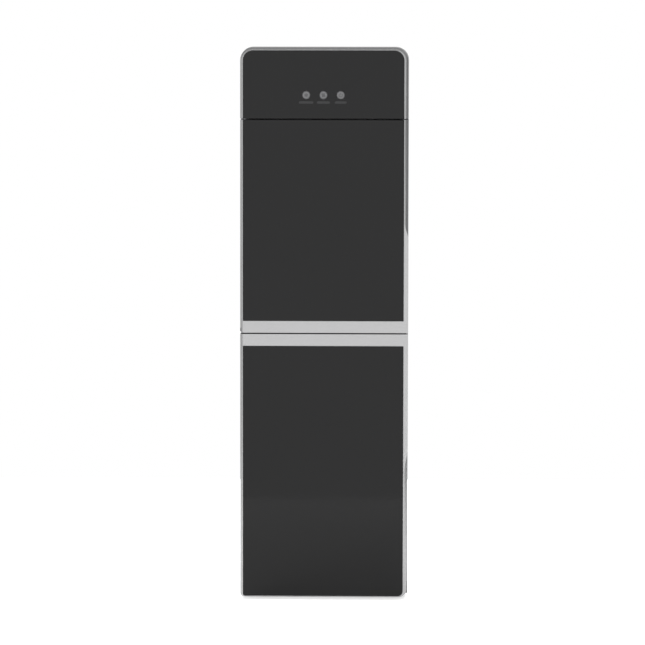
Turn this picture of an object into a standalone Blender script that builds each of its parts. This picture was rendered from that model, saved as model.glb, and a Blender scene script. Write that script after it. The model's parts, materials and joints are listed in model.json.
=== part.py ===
"""Floor-standing hot and cold water dispenser with two glass-fronted doors.

The frame: metres, +Z up, the front faces -Y, and the origin is at the centre of
the object's footprint on the floor.  Both doors hinge on the left (-X) edge and
are pulled by a lip on the right (+X) edge.
"""

import math

import bmesh
import bpy
from mathutils import Matrix, Vector

# ---------------------------------------------------------------- overall sizes
WIDTH = 0.310
DEPTH = 0.360
HEIGHT = 1.025
FOOT_HEIGHT = 0.010
GAP = 0.0003                    # kept between pieces that touch

# ---------------------------------------------------------------- front faces
DOOR_THICKNESS = 0.028
DOOR_STANDOFF = 0.004           # between the doors' backs and the cabinet
HEAD_HEIGHT = 0.133             # control head, down to the upper door's top edge
HEAD_GAP = 0.002
LOWER_DOOR_TOP = 0.4963
DOOR_GAP = 0.0024
DOOR_FLOOR_CLEARANCE = 0.006
FRONT_INSET = 0.0015            # the fronts stop short of the right side and the top
EDGE_RADIUS = 0.0054            # rounding of the fronts' outer edges
HEAD_CORNER_RADIUS = 0.0235
DOOR_CORNER_RADII = (0.008, 0.014)  # lower door, bottom left and bottom right

GLASS_THICKNESS = 0.004
GLASS_SIDE_LEFT = 0.0052        # silver border beside the glass
GLASS_SIDE_RIGHT = 0.007
GLASS_TOP_BORDER = 0.0058
GLASS_BOTTOM_BORDER = 0.003
GLASS_STRIP = 0.022             # silver strip at the doors' meeting edges
GLASS_CORNER_RADII = (0.004, 0.009)
HEAD_GLASS_CORNER_RADIUS = 0.018

FRAME_WALL = 0.003
FRAME_WEB = 0.002               # sheet behind the glass
HINGE_STILE = 0.020             # solid left-hand stile that holds the pins
GRIP_STILE = 0.017              # solid right-hand stile that holds the finger scoop
GRIP_LIP_THICKNESS = 0.005
GRIP_UP = 0.204                 # length of the lip above the doors' meeting line
GRIP_DOWN = 0.262
GRIP_TAPER_UP = 0.032
GRIP_TAPER_DOWN = 0.052
GRIP_SCOOP = (0.0105, 0.019, 0.82)  # depth, half width, share of the lip's length

# ---------------------------------------------------------------- hinges
PIVOT_INSET_X = 0.0085          # hinge line in from the doors' left edge
PIVOT_INSET_Y = 0.010           # and forward of the doors' backs
PIN_RADIUS = 0.0025
PIN_CLEARANCE = 0.0003
PIN_DEPTH = 0.012
HINGE_PLATE = 0.002
HINGE_HALF_WIDTH = 0.0055
HINGE_SWING = 0.0095            # half the room left around the plate's pivot end
HINGE_NOTCH_HEIGHT = 0.009
HINGE_NOTCH_WIDTH = 0.002       # of the slit that shows at the front
HINGE_PLATE_DEPTH = 0.036

# ---------------------------------------------------------------- cabinet
SHEET = 0.0012
SIDE_FLANGE = 0.012
REAR_RECESS = 0.030             # room for the condenser behind the back panel
BASE_HEIGHT = 0.022
MOULDING_WALL = 0.003
LINER_WALL = 0.0025
BACK_PANEL_BOTTOM = 0.235

CAVITY_SIDE_ROOM = 0.027        # cabinet behind the lower door, in from its sides
CAVITY_FLOOR = 0.036
CAVITY_TOP_DROP = 0.0223        # below the lower door's top edge
CAVITY_DEPTH = 0.250
HUMP_DEPTH = 0.110              # step in the cavity over the compressor
HUMP_CLEARANCE = 0.0391         # above the compressor, room for its lines
SHELF_DROP = 0.144              # below the cavity's top
SHELF_THICKNESS = 0.004
SHELF_SLOTS = 6
SHELF_SLOT_PITCH = 0.036

NICHE_SIDE_ROOM = 0.029         # dispensing recess behind the upper door, in from the sides
NICHE_FLOOR_RISE = 0.0213       # above the upper door's bottom edge
NICHE_TOP_DROP = 0.029          # below its top edge
NICHE_TANK_CLEARANCE = 0.004    # between the recess and the cold tank's jacket

# ---------------------------------------------------------------- water and cooling
TAP_X = 0.060
TAP_DROP = 0.097                # below the recess's top
TAP_BORE = 0.008
TAP_BARREL = 0.012
TAP_REACH = 0.046
SPOUT_RADIUS = 0.008
SPOUT_BORE = 0.0045
SPOUT_DROP = 0.042
LEVER_WIDTH = 0.026
LEVER_FRONT_ROOM = 0.027        # recess depth that the levers leave free
LEVER_THICKNESS = 0.0045
LEVER_PIVOT = (0.013, 0.020)    # from the recess's back wall and from the tap's line
LEVER_POST = 0.0034             # top of the lever's post above its pin, clear of the paddle as it tips

TANK_REAR_CLEARANCE = 0.0083    # between the cold tank's jacket and the back panel
COLD_RADIUS = 0.068
COLD_TOP_DROP = 0.100           # below the top of the dispenser
TANK_SPACING = 0.047            # between the two tanks
COIL_TUBE = 0.0034
COIL_TURNS = 7
COIL_ROOM = 0.0105              # between the cold tank and its jacket
COIL_END_ROOM = (0.030, 0.044)  # tank height left free below and above the coil
JACKET_WALL = 0.015
HOT_RADIUS = 0.047
HOT_HEIGHT = 0.105
HOT_RISE = 0.035                # above the bracket
HOT_JACKET_WALL = 0.015
TANK_SHEET = 0.0015
TANK_MOUTH = 0.034
BRACKET_DROP = 0.010            # below the recess's floor
BRACKET_FLANGE = 0.018
COLLAR_RADIUS = 0.112
COLLAR_RIM = 0.006              # overlap of its rim on the cover
COLLAR_SINK = 0.005             # the rim lies in a rebate, level with the cover's top
COLLAR_NECK = 0.030
COLLAR_WALL = 0.003
WELL_DEPTH = 0.062
PROBE_RADIUS = 0.009

COMPRESSOR_RADIUS = 0.060
COMPRESSOR_HEIGHT = 0.148
COMPRESSOR_CLEARANCE = 0.0135   # behind the step
CRADLE_MARGIN = (0.030, 0.006)  # of the cradle round the compressor
CRADLE_SHEET = 0.002
GROMMET_HEIGHT = 0.012
CONDENSER_RUNS = 7
CONDENSER_BOTTOM = 0.345
CONDENSER_PITCH = 0.062
CONDENSER_SIDE_ROOM = 0.043      # in from the sides
CONDENSER_TUBE = 0.0025
CONDENSER_WIRE = 0.0014
CONDENSER_WIRES = 6
CONDENSER_STANDOFF = 0.014       # behind the back panel

TRAY_HEIGHT = 0.030
TRAY_SIDE_ROOM = 0.031          # between the tray and the recess's sides
TRAY_DEPTH_ROOM = 0.017         # recess depth that the tray leaves free
TRAY_WALL = 0.002
GRILLE_THICKNESS = 0.003
GRILLE_SLOTS = 13

INDICATOR_DROP = 0.0875          # below the head's top
INDICATOR_X = -0.002
INDICATOR_PITCH = 0.0317
INDICATOR_RADIUS = 0.0073
SWITCH_DROP = 0.038             # below the head
SWITCH_X = 0.085
SWITCH_PITCH = 0.030
SWITCH_HALF_SIZE = (0.0310, 0.0120)
LOUVRE_X = (-0.095, -0.040)
LOUVRE_PITCH = 0.008
LOUVRES = 4
ROCKER_SIZE = (0.0205, 0.009, 0.0165)
ROCKER_TILT = 7.0
GLAND_X = 0.112
GLAND_RISE = 0.040              # above the back panel's lower edge
DRAIN_RISE = 0.037
PANEL_BORE = 0.0075             # holes for the cord gland and the drain
CATCH_DROP = (0.191, 0.2413)   # below the top edges of the upper and the lower door
LINE_RADIUS = 0.003             # refrigerant lines
HOSE_RADIUS = 0.0055

# ---------------------------------------------------------------- derived places
LEFT = -WIDTH / 2
RIGHT = WIDTH / 2
FRONT_Y = -DEPTH / 2
REAR_Y = DEPTH / 2
DOOR_BACK_Y = FRONT_Y + DOOR_THICKNESS
CABINET_FRONT_Y = DOOR_BACK_Y + DOOR_STANDOFF
CABINET_BACK_Y = REAR_Y - REAR_RECESS
FRONT_RIGHT = RIGHT - FRONT_INSET
HEAD_TOP = HEIGHT - FRONT_INSET
HEAD_BOTTOM = HEIGHT - HEAD_HEIGHT + HEAD_GAP / 2
UPPER_DOOR_TOP = HEAD_BOTTOM - HEAD_GAP
UPPER_DOOR_BOTTOM = LOWER_DOOR_TOP + DOOR_GAP
DOOR_SPLIT = LOWER_DOOR_TOP + DOOR_GAP / 2
LOWER_DOOR_BOTTOM = DOOR_FLOOR_CLEARANCE
GLASS_LEFT = LEFT + GLASS_SIDE_LEFT
GLASS_RIGHT = FRONT_RIGHT - GLASS_SIDE_RIGHT
WEB_Y = FRONT_Y + GLASS_THICKNESS + GAP + FRAME_WEB
PIVOT_X = LEFT + PIVOT_INSET_X
PIVOT_Y = DOOR_BACK_Y - PIVOT_INSET_Y
BASE_TOP = FOOT_HEIGHT + BASE_HEIGHT
JACKET_OUTER = COLD_RADIUS + COIL_ROOM + JACKET_WALL
TANK_Y = CABINET_BACK_Y - SHEET - TANK_REAR_CLEARANCE - JACKET_OUTER
CAVITY_HALF_WIDTH = RIGHT - CAVITY_SIDE_ROOM
CAVITY_TOP = LOWER_DOOR_TOP - CAVITY_TOP_DROP
SHELF_Z = CAVITY_TOP - SHELF_DROP
NICHE_HALF_WIDTH = RIGHT - NICHE_SIDE_ROOM
NICHE_FLOOR = UPPER_DOOR_BOTTOM + NICHE_FLOOR_RISE
NICHE_TOP = UPPER_DOOR_TOP - NICHE_TOP_DROP
NICHE_BACK_Y = TANK_Y - JACKET_OUTER - NICHE_TANK_CLEARANCE - LINER_WALL
NICHE_DEPTH = NICHE_BACK_Y - CABINET_FRONT_Y
TAP_Z = NICHE_TOP - TAP_DROP
LEVER_LENGTH = NICHE_DEPTH - LEVER_FRONT_ROOM
TRAY_SIZE = (2 * (NICHE_HALF_WIDTH - TRAY_SIDE_ROOM), NICHE_DEPTH - TRAY_DEPTH_ROOM, TRAY_HEIGHT)
BRACKET_Z = NICHE_FLOOR - BRACKET_DROP
HOT_BOTTOM = BRACKET_Z + HOT_RISE
HOT_TOP = HOT_BOTTOM + HOT_HEIGHT
HOT_JACKET_OUTER = HOT_RADIUS + HOT_JACKET_WALL
COLD_BOTTOM = HOT_TOP + TANK_SPACING
COLD_TOP = HEIGHT - COLD_TOP_DROP
COIL_LOW = COLD_BOTTOM + COIL_END_ROOM[0]
COIL_EXIT_TOP = COLD_TOP - COIL_END_ROOM[1]
COIL_PITCH = (COIL_EXIT_TOP - COIL_LOW) / COIL_TURNS
HOT_DRAIN = HOT_BOTTOM + 0.012
PAN_FLOOR = FOOT_HEIGHT + MOULDING_WALL
CRADLE_BOTTOM = PAN_FLOOR + GAP + GROMMET_HEIGHT + GAP
COMPRESSOR_BOTTOM = CRADLE_BOTTOM + CRADLE_SHEET + GAP
COMPRESSOR_TOP = COMPRESSOR_BOTTOM + COMPRESSOR_HEIGHT
HUMP_HEIGHT = COMPRESSOR_TOP + HUMP_CLEARANCE
HUMP_FRONT_Y = CABINET_FRONT_Y + CAVITY_DEPTH - HUMP_DEPTH
COMPRESSOR_Y = HUMP_FRONT_Y + LINER_WALL + COMPRESSOR_CLEARANCE + COMPRESSOR_RADIUS
CONDENSER_HALF_WIDTH = RIGHT - CONDENSER_SIDE_ROOM
CONDENSER_Y = CABINET_BACK_Y + CONDENSER_STANDOFF
INDICATOR_Z = HEAD_TOP - INDICATOR_DROP
SWITCH_Z = HEAD_BOTTOM - SWITCH_DROP
DRAIN_Z = BACK_PANEL_BOTTOM + DRAIN_RISE
GLAND_Z = BACK_PANEL_BOTTOM + GLAND_RISE
FLANGE_X = RIGHT - SIDE_FLANGE - GAP
LEVER_PIVOT_Y = NICHE_BACK_Y - LEVER_PIVOT[0]
LEVER_PIVOT_Z = TAP_Z + LEVER_PIVOT[1]
JACKET_BOTTOM = COLD_BOTTOM - GAP - JACKET_WALL
COLLAR_BOTTOM = COLD_TOP - 0.010
TRAY_Y = CABINET_FRONT_Y + 0.006
SIDES = {"left": -1, "right": 1}

PARTS = bpy.data.collections.new("water_dispenser")
CUTTERS = bpy.data.collections.new("cutters")


# ================================================================ helpers
def clear_scene():
    for obj in list(bpy.data.objects):
        bpy.data.objects.remove(obj, do_unlink=True)
    for collection in (PARTS, CUTTERS):
        bpy.context.scene.collection.children.link(collection)


def material(name, rgb, roughness=0.5, metallic=0.0, alpha=1.0):
    found = bpy.data.materials.get(name)
    if found:
        return found
    made = bpy.data.materials.new(name)
    made.use_nodes = True
    shader = made.node_tree.nodes["Principled BSDF"]
    shader.inputs["Base Color"].default_value = (*rgb, 1.0)
    shader.inputs["Roughness"].default_value = roughness
    shader.inputs["Metallic"].default_value = metallic
    shader.inputs["Alpha"].default_value = alpha
    return made


SILVER = ("silver_plastic", (0.56, 0.56, 0.57), 0.35, 0.4)
BLACK_GLASS = ("black_glass", (0.030, 0.030, 0.031), 0.08)
SHEET_SILVER = ("silver_sheet", (0.36, 0.365, 0.375), 0.45, 0.5)
DARK_PLASTIC = ("dark_plastic", (0.045, 0.045, 0.048), 0.5)
LINER_WHITE = ("liner_plastic", (0.72, 0.73, 0.72), 0.45)
GREY_PLASTIC = ("grey_plastic", (0.30, 0.31, 0.32), 0.5)
ZINC = ("zinc_steel", (0.52, 0.53, 0.54), 0.4, 0.9)
STAINLESS = ("stainless_steel", (0.62, 0.62, 0.61), 0.28, 1.0)
COPPER = ("copper_tube", (0.72, 0.33, 0.18), 0.3, 1.0)
FOAM = ("white_foam", (0.86, 0.86, 0.84), 0.9)
RUBBER = ("black_rubber", (0.025, 0.025, 0.025), 0.8)
SILICONE = ("silicone_hose", (0.74, 0.75, 0.76), 0.4)
RED = ("red_plastic", (0.55, 0.02, 0.02), 0.3)
BLUE = ("blue_plastic", (0.02, 0.10, 0.50), 0.3)
GREEN = ("green_plastic", (0.02, 0.30, 0.08), 0.35)
BLACK_STEEL = ("black_steel", (0.02, 0.02, 0.022), 0.5, 0.3)
LENS = ("indicator_lens", (0.50, 0.50, 0.52), 0.25)
BOARD = ("circuit_board", (0.02, 0.18, 0.08), 0.5)
PROBE = ("probe_plastic", (0.70, 0.76, 0.80), 0.35)


def register(obj, name, finish, smooth=35):
    """Names the object, gives it its material and puts it with the parts."""
    obj.name = name
    obj.data.name = name
    for collection in list(obj.users_collection):
        collection.objects.unlink(obj)
    PARTS.objects.link(obj)
    obj.data.materials.clear()
    obj.data.materials.append(material(*finish))
    if smooth and obj.type == "MESH":
        obj.data.shade_smooth()
        obj.data.set_sharp_from_angle(angle=math.radians(smooth))
    return obj


def as_cutter(obj):
    for collection in list(obj.users_collection):
        collection.objects.unlink(obj)
    CUTTERS.objects.link(obj)
    obj.hide_render = True
    obj.display_type = "WIRE"
    return obj


def boolean(obj, others, operation="DIFFERENCE"):
    """Adds one Boolean for each other solid, which becomes a helper."""
    for other in others:
        modifier = obj.modifiers.new(operation.lower(), "BOOLEAN")
        modifier.operation = operation
        modifier.object = as_cutter(other)
    return obj


def box(low, high):
    """A box between two corners, with its origin at its centre."""
    low, high = Vector(low), Vector(high)
    bpy.ops.mesh.primitive_cube_add(size=1, location=(low + high) / 2)
    obj = bpy.context.object
    obj.data.transform(Matrix.Diagonal((*(high - low), 1)))
    return obj


def along(axis):
    """The rotation that turns +Z to the given row axis."""
    return Vector((0, 0, 1)).rotation_difference(Vector(axis)).to_euler()


def cylinder(start, end, radius, end_radius=None, sides=24):
    """A round bar, or a cone where end_radius is given, from start to end."""
    start, end = Vector(start), Vector(end)
    bpy.ops.mesh.primitive_cone_add(
        vertices=sides,
        radius1=radius,
        radius2=radius if end_radius is None else end_radius,
        depth=(end - start).length,
        location=(start + end) / 2,
        rotation=along((end - start).normalized()),
    )
    return bpy.context.object


def turned(profile, place, axis=(0, 0, 1), steps=32):
    """A closed (radius, height) profile, run down its outer side, turned about an axis."""
    mesh = bpy.data.meshes.new("turned")
    on_axis = profile[0][0] == 0 and profile[-1][0] == 0
    count = len(profile)
    links = [(i, i + 1) for i in range(count - 1)]
    if not on_axis:
        links.append((count - 1, 0))
    mesh.from_pydata([(r, 0, z) for r, z in profile], links, [])
    obj = bpy.data.objects.new("turned", mesh)
    bpy.context.scene.collection.objects.link(obj)
    obj.location = place
    obj.rotation_euler = along(axis)
    screw = obj.modifiers.new("turn", "SCREW")
    screw.steps = steps
    screw.render_steps = steps
    screw.use_merge_vertices = True
    screw.merge_threshold = 0.00001
    return obj


def applied(obj):
    """The object with its modifiers or its curve made plain mesh, caps welded."""
    bpy.context.view_layer.update()
    graph = bpy.context.evaluated_depsgraph_get()
    mesh = bpy.data.meshes.new_from_object(obj.evaluated_get(graph))
    shape = bmesh.new()
    shape.from_mesh(mesh)
    bmesh.ops.remove_doubles(shape, verts=shape.verts, dist=0.00001)
    bmesh.ops.dissolve_limit(
        shape, angle_limit=math.radians(0.5), verts=shape.verts, edges=shape.edges
    )
    bmesh.ops.recalc_face_normals(shape, faces=shape.faces)
    shape.to_mesh(mesh)
    shape.free()
    made = bpy.data.objects.new(obj.name, mesh)
    bpy.context.scene.collection.objects.link(made)
    made.matrix_world = obj.matrix_world
    bpy.data.objects.remove(obj, do_unlink=True)
    return made


PLANES = {
    "XY": (0, 0, 0),
    "XZ": (math.pi / 2, 0, 0),
    "YZ": (math.pi / 2, 0, math.pi / 2),
}


def extruded(outline, low, high, plane="XZ"):
    """A flat outline in a plane, made solid between two offsets from that plane."""
    curve = bpy.data.curves.new("outline", "CURVE")
    curve.dimensions = "2D"
    curve.fill_mode = "BOTH"
    curve.extrude = abs(high - low) / 2
    spline = curve.splines.new("POLY")
    spline.points.add(len(outline) - 1)
    for point, (a, b) in zip(spline.points, outline):
        point.co = (a, b, 0, 1)
    spline.use_cyclic_u = True
    obj = bpy.data.objects.new("outline", curve)
    bpy.context.scene.collection.objects.link(obj)
    middle = (low + high) / 2
    obj.location = {"XY": (0, 0, middle), "XZ": (0, middle, 0), "YZ": (middle, 0, 0)}[plane]
    obj.rotation_euler = PLANES[plane]
    return applied(obj)


def arc(centre, radius, start, end, count):
    """Points on an arc, angles in degrees."""
    angles = [math.radians(start + (end - start) * i / count) for i in range(count + 1)]
    return [(centre[0] + radius * math.cos(a), centre[1] + radius * math.sin(a)) for a in angles]


def rounded(low, high, radii, count=6):
    """A rectangle with a radius for each corner: low left, low right, high right, high left."""
    (x0, z0), (x1, z1) = low, high
    corners = ((x0, z0, 1, 1, 180), (x1, z0, -1, 1, 270), (x1, z1, -1, -1, 0), (x0, z1, 1, -1, 90))
    points = []
    for (x, z, sx, sz, turn), radius in zip(corners, radii):
        if radius <= 0:
            points.append((x, z))
        else:
            points += arc((x + sx * radius, z + sz * radius), radius, turn, turn + 90, count)
    return points


def blend(a, b, t, t_a, t_b):
    """The point between a and b that t marks on the way from t_a to t_b."""
    return a * ((t_b - t) / (t_b - t_a)) + b * ((t - t_a) / (t_b - t_a))


def smooth_route(points, spacing):
    """Points on a centripetal Catmull-Rom curve through the route's own points."""
    ends = [2 * points[0] - points[1], *points, 2 * points[-1] - points[-2]]
    made = []
    for p0, p1, p2, p3 in zip(ends, ends[1:], ends[2:], ends[3:]):
        t1 = (p1 - p0).length ** 0.5
        t2 = t1 + (p2 - p1).length ** 0.5
        t3 = t2 + (p3 - p2).length ** 0.5
        count = max(2, round((p2 - p1).length / spacing))
        for i in range(count):
            t = t1 + (t2 - t1) * i / count
            first, second, third = blend(p0, p1, t, 0, t1), blend(p1, p2, t, t1, t2), blend(p2, p3, t, t2, t3)
            made.append(blend(blend(first, second, t, 0, t2), blend(second, third, t, t1, t3), t, t1, t2))
    return [*made, points[-1]]


def tube(points, radius, resolution=2):
    """A round tube along points, as a curve with filled caps."""
    curve = bpy.data.curves.new("tube", "CURVE")
    curve.dimensions = "3D"
    curve.bevel_depth = radius
    curve.bevel_resolution = resolution
    curve.use_fill_caps = True
    spline = curve.splines.new("POLY")
    spline.points.add(len(points) - 1)
    for point, place in zip(spline.points, points):
        point.co = (*place, 1)
    obj = bpy.data.objects.new("tube", curve)
    bpy.context.scene.collection.objects.link(obj)
    return obj


def round_edges(obj, chosen, radius, segments=4):
    """Rounds the mesh's edges whose two world ends pass the test."""
    weights = obj.data.attributes.new("bevel_weight_edge", "FLOAT", "EDGE")
    bpy.context.view_layer.update()
    places = [obj.matrix_world @ v.co for v in obj.data.vertices]
    for edge in obj.data.edges:
        if chosen(*(places[i] for i in edge.vertices)):
            weights.data[edge.index].value = 1.0
    bevel = obj.modifiers.new("rounding", "BEVEL")
    bevel.limit_method = "WEIGHT"
    bevel.width = radius
    bevel.segments = segments
    return obj


def pivot(name, place):
    """An empty on a joint's axis, which carries that joint's moving pieces."""
    empty = bpy.data.objects.new(name, None)
    empty.location = place
    PARTS.objects.link(empty)
    return empty


def carry(empty, *pieces):
    bpy.context.view_layer.update()
    for piece in pieces:
        piece.parent = empty
        piece.location = piece.location - empty.location


# ================================================================ fronts
def at(value, target):
    return abs(value - target) < 1e-5


def front_block(outline, rounded_edge):
    """A door's or the head's outer block, with its outer front edges rounded."""
    block = extruded(outline, FRONT_Y, DOOR_BACK_Y)

    def on_front(a, b):
        return at(a.y, FRONT_Y) and at(b.y, FRONT_Y) and rounded_edge(a, b)

    return round_edges(block, on_front, EDGE_RADIUS)


def glass_pane(outline_of):
    """The recess cutter and the pane for one glass outline, given as a function of its gap."""
    recess = extruded(outline_of(GAP), FRONT_Y - 0.01, FRONT_Y + GLASS_THICKNESS + GAP)
    pane = extruded(outline_of(0), FRONT_Y, FRONT_Y + GLASS_THICKNESS)
    return recess, pane


def back_pocket(bottom, top):
    """The hollow in a door's back: a thin wall all round and the solid grip stile on the right."""
    return box(
        (LEFT + HINGE_STILE, WEB_Y, bottom + FRAME_WALL + PIN_DEPTH),
        (FRONT_RIGHT - GRIP_STILE, DOOR_BACK_Y + 0.01, top - FRAME_WALL - PIN_DEPTH),
    )


def door_liner(bottom, top):
    """The moulded sheet that closes a door's pocket, a pan with its rim inside the frame."""
    x0 = LEFT + HINGE_STILE + GAP
    x1 = FRONT_RIGHT - GRIP_STILE - GAP
    z0 = bottom + FRAME_WALL + PIN_DEPTH + GAP
    z1 = top - FRAME_WALL - PIN_DEPTH - GAP
    pan = box((x0, WEB_Y + 0.004, z0), (x1, DOOR_BACK_Y, z1))
    inside = box(
        (x0 + FRAME_WALL, WEB_Y, z0 + FRAME_WALL),
        (x1 - FRAME_WALL, DOOR_BACK_Y - FRAME_WALL, z1 - FRAME_WALL),
    )
    return boolean(pan, [inside])


def grip_lip(z_meeting, z_full, z_end):
    """The lip in front of the finger scoop: it swells from the door's edge to the cabinet's side."""
    inner = GLASS_RIGHT + 2 * GAP
    steps = 8
    swell = []
    for i in range(steps + 1):
        ease = 0.5 - 0.5 * math.cos(math.pi * i / steps)
        x = FRONT_RIGHT - EDGE_RADIUS + (FRONT_INSET + EDGE_RADIUS) * ease
        swell.append((x, z_end + (z_full - z_end) * i / steps))
    outline = [(inner, z_meeting), (inner, z_end), *swell, (RIGHT, z_meeting)]
    return extruded(outline, FRONT_Y, FRONT_Y + GRIP_LIP_THICKNESS)


def grip_scoop():
    """The long hollow behind the lip that a finger reaches into, shared by both doors."""
    depth, half_width, share = GRIP_SCOOP
    bpy.ops.mesh.primitive_uv_sphere_add(
        segments=16, ring_count=16, radius=1,
        location=(FRONT_RIGHT, DOOR_BACK_Y, DOOR_SPLIT + (GRIP_UP - GRIP_DOWN) / 2),
    )
    scoop = bpy.context.object
    scoop.data.transform(Matrix.Diagonal((depth, half_width, share * (GRIP_UP + GRIP_DOWN) / 2, 1)))
    return scoop


def pin_bore(z_from, z_to):
    return cylinder((PIVOT_X, PIVOT_Y, z_from), (PIVOT_X, PIVOT_Y, z_to),
                    PIN_RADIUS + PIN_CLEARANCE, sides=16)


def hinge_notch(bottom):
    """Clears the hinge plate under a door's lower left corner, through the door's whole swing."""
    return box(
        (LEFT - 0.01, PIVOT_Y - HINGE_SWING, bottom - 0.01),
        (PIVOT_X + HINGE_SWING, DOOR_BACK_Y + 0.01, bottom + HINGE_NOTCH_HEIGHT),
    )


def hinge_slit():
    """The slit at the upper door's lower left corner that the middle hinge shows through."""
    return box(
        (LEFT - 0.01, FRONT_Y - 0.01, UPPER_DOOR_BOTTOM - 0.01),
        (LEFT + HINGE_NOTCH_WIDTH, PIVOT_Y, UPPER_DOOR_BOTTOM + HINGE_NOTCH_HEIGHT),
    )


def upper_door():
    outline = rounded((LEFT, UPPER_DOOR_BOTTOM), (FRONT_RIGHT, UPPER_DOOR_TOP), (0, 0, 0, 0))
    frame = front_block(outline, lambda a, b: at(a.x, b.x))

    def pane_outline(gap):
        return [
            (GLASS_LEFT - gap, UPPER_DOOR_BOTTOM + GLASS_STRIP - gap),
            (GLASS_RIGHT + gap, UPPER_DOOR_BOTTOM + GLASS_STRIP - gap),
            (GLASS_RIGHT + gap, UPPER_DOOR_TOP + (0.01 if gap else 0)),
            (GLASS_LEFT - gap, UPPER_DOOR_TOP + (0.01 if gap else 0)),
        ]

    recess, pane = glass_pane(pane_outline)
    lip_top = DOOR_SPLIT + GRIP_UP
    lip = grip_lip(UPPER_DOOR_BOTTOM, lip_top - GRIP_TAPER_UP, lip_top)
    boolean(frame, [lip], "UNION")
    boolean(frame, [
        recess,
        back_pocket(UPPER_DOOR_BOTTOM, UPPER_DOOR_TOP),
        grip_scoop(),
        hinge_notch(UPPER_DOOR_BOTTOM),
        hinge_slit(),
        pin_bore(UPPER_DOOR_BOTTOM, UPPER_DOOR_BOTTOM + HINGE_NOTCH_HEIGHT + PIN_DEPTH),
        pin_bore(UPPER_DOOR_TOP - PIN_DEPTH, UPPER_DOOR_TOP + 0.01),
    ])
    register(frame, "upper_door_frame", SILVER)
    register(pane, "upper_door_glass", BLACK_GLASS)
    liner = register(door_liner(UPPER_DOOR_BOTTOM, UPPER_DOOR_TOP), "upper_door_liner", GREY_PLASTIC)
    carry(pivot("upper_door_axis", (PIVOT_X, PIVOT_Y, UPPER_DOOR_BOTTOM)), frame, pane, liner)


def lower_door():
    outline = rounded((LEFT, LOWER_DOOR_BOTTOM), (FRONT_RIGHT, LOWER_DOOR_TOP), (*DOOR_CORNER_RADII, 0, 0))
    frame = front_block(outline, lambda a, b: not (at(a.z, LOWER_DOOR_TOP) and at(b.z, LOWER_DOOR_TOP)))

    def pane_outline(gap):
        left, right = (radius + gap for radius in GLASS_CORNER_RADII)
        return rounded(
            (GLASS_LEFT - gap, LOWER_DOOR_BOTTOM + GLASS_BOTTOM_BORDER - gap),
            (GLASS_RIGHT + gap, LOWER_DOOR_TOP - GLASS_STRIP + gap),
            (left, right, 0, 0), 4,
        )

    recess, pane = glass_pane(pane_outline)
    lip_end = DOOR_SPLIT - GRIP_DOWN
    lip = grip_lip(LOWER_DOOR_TOP, lip_end + GRIP_TAPER_DOWN, lip_end)
    boolean(frame, [lip], "UNION")
    boolean(frame, [
        recess,
        back_pocket(LOWER_DOOR_BOTTOM, LOWER_DOOR_TOP),
        grip_scoop(),
        hinge_notch(LOWER_DOOR_BOTTOM),
        pin_bore(LOWER_DOOR_BOTTOM, LOWER_DOOR_BOTTOM + HINGE_NOTCH_HEIGHT + PIN_DEPTH),
        pin_bore(LOWER_DOOR_TOP - PIN_DEPTH, LOWER_DOOR_TOP + 0.01),
    ])
    register(frame, "lower_door_frame", SILVER)
    register(pane, "lower_door_glass", BLACK_GLASS)
    liner = register(door_liner(LOWER_DOOR_BOTTOM, LOWER_DOOR_TOP), "lower_door_liner", LINER_WHITE)
    carry(pivot("lower_door_axis", (PIVOT_X, PIVOT_Y, LOWER_DOOR_BOTTOM)), frame, pane, liner)


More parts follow.
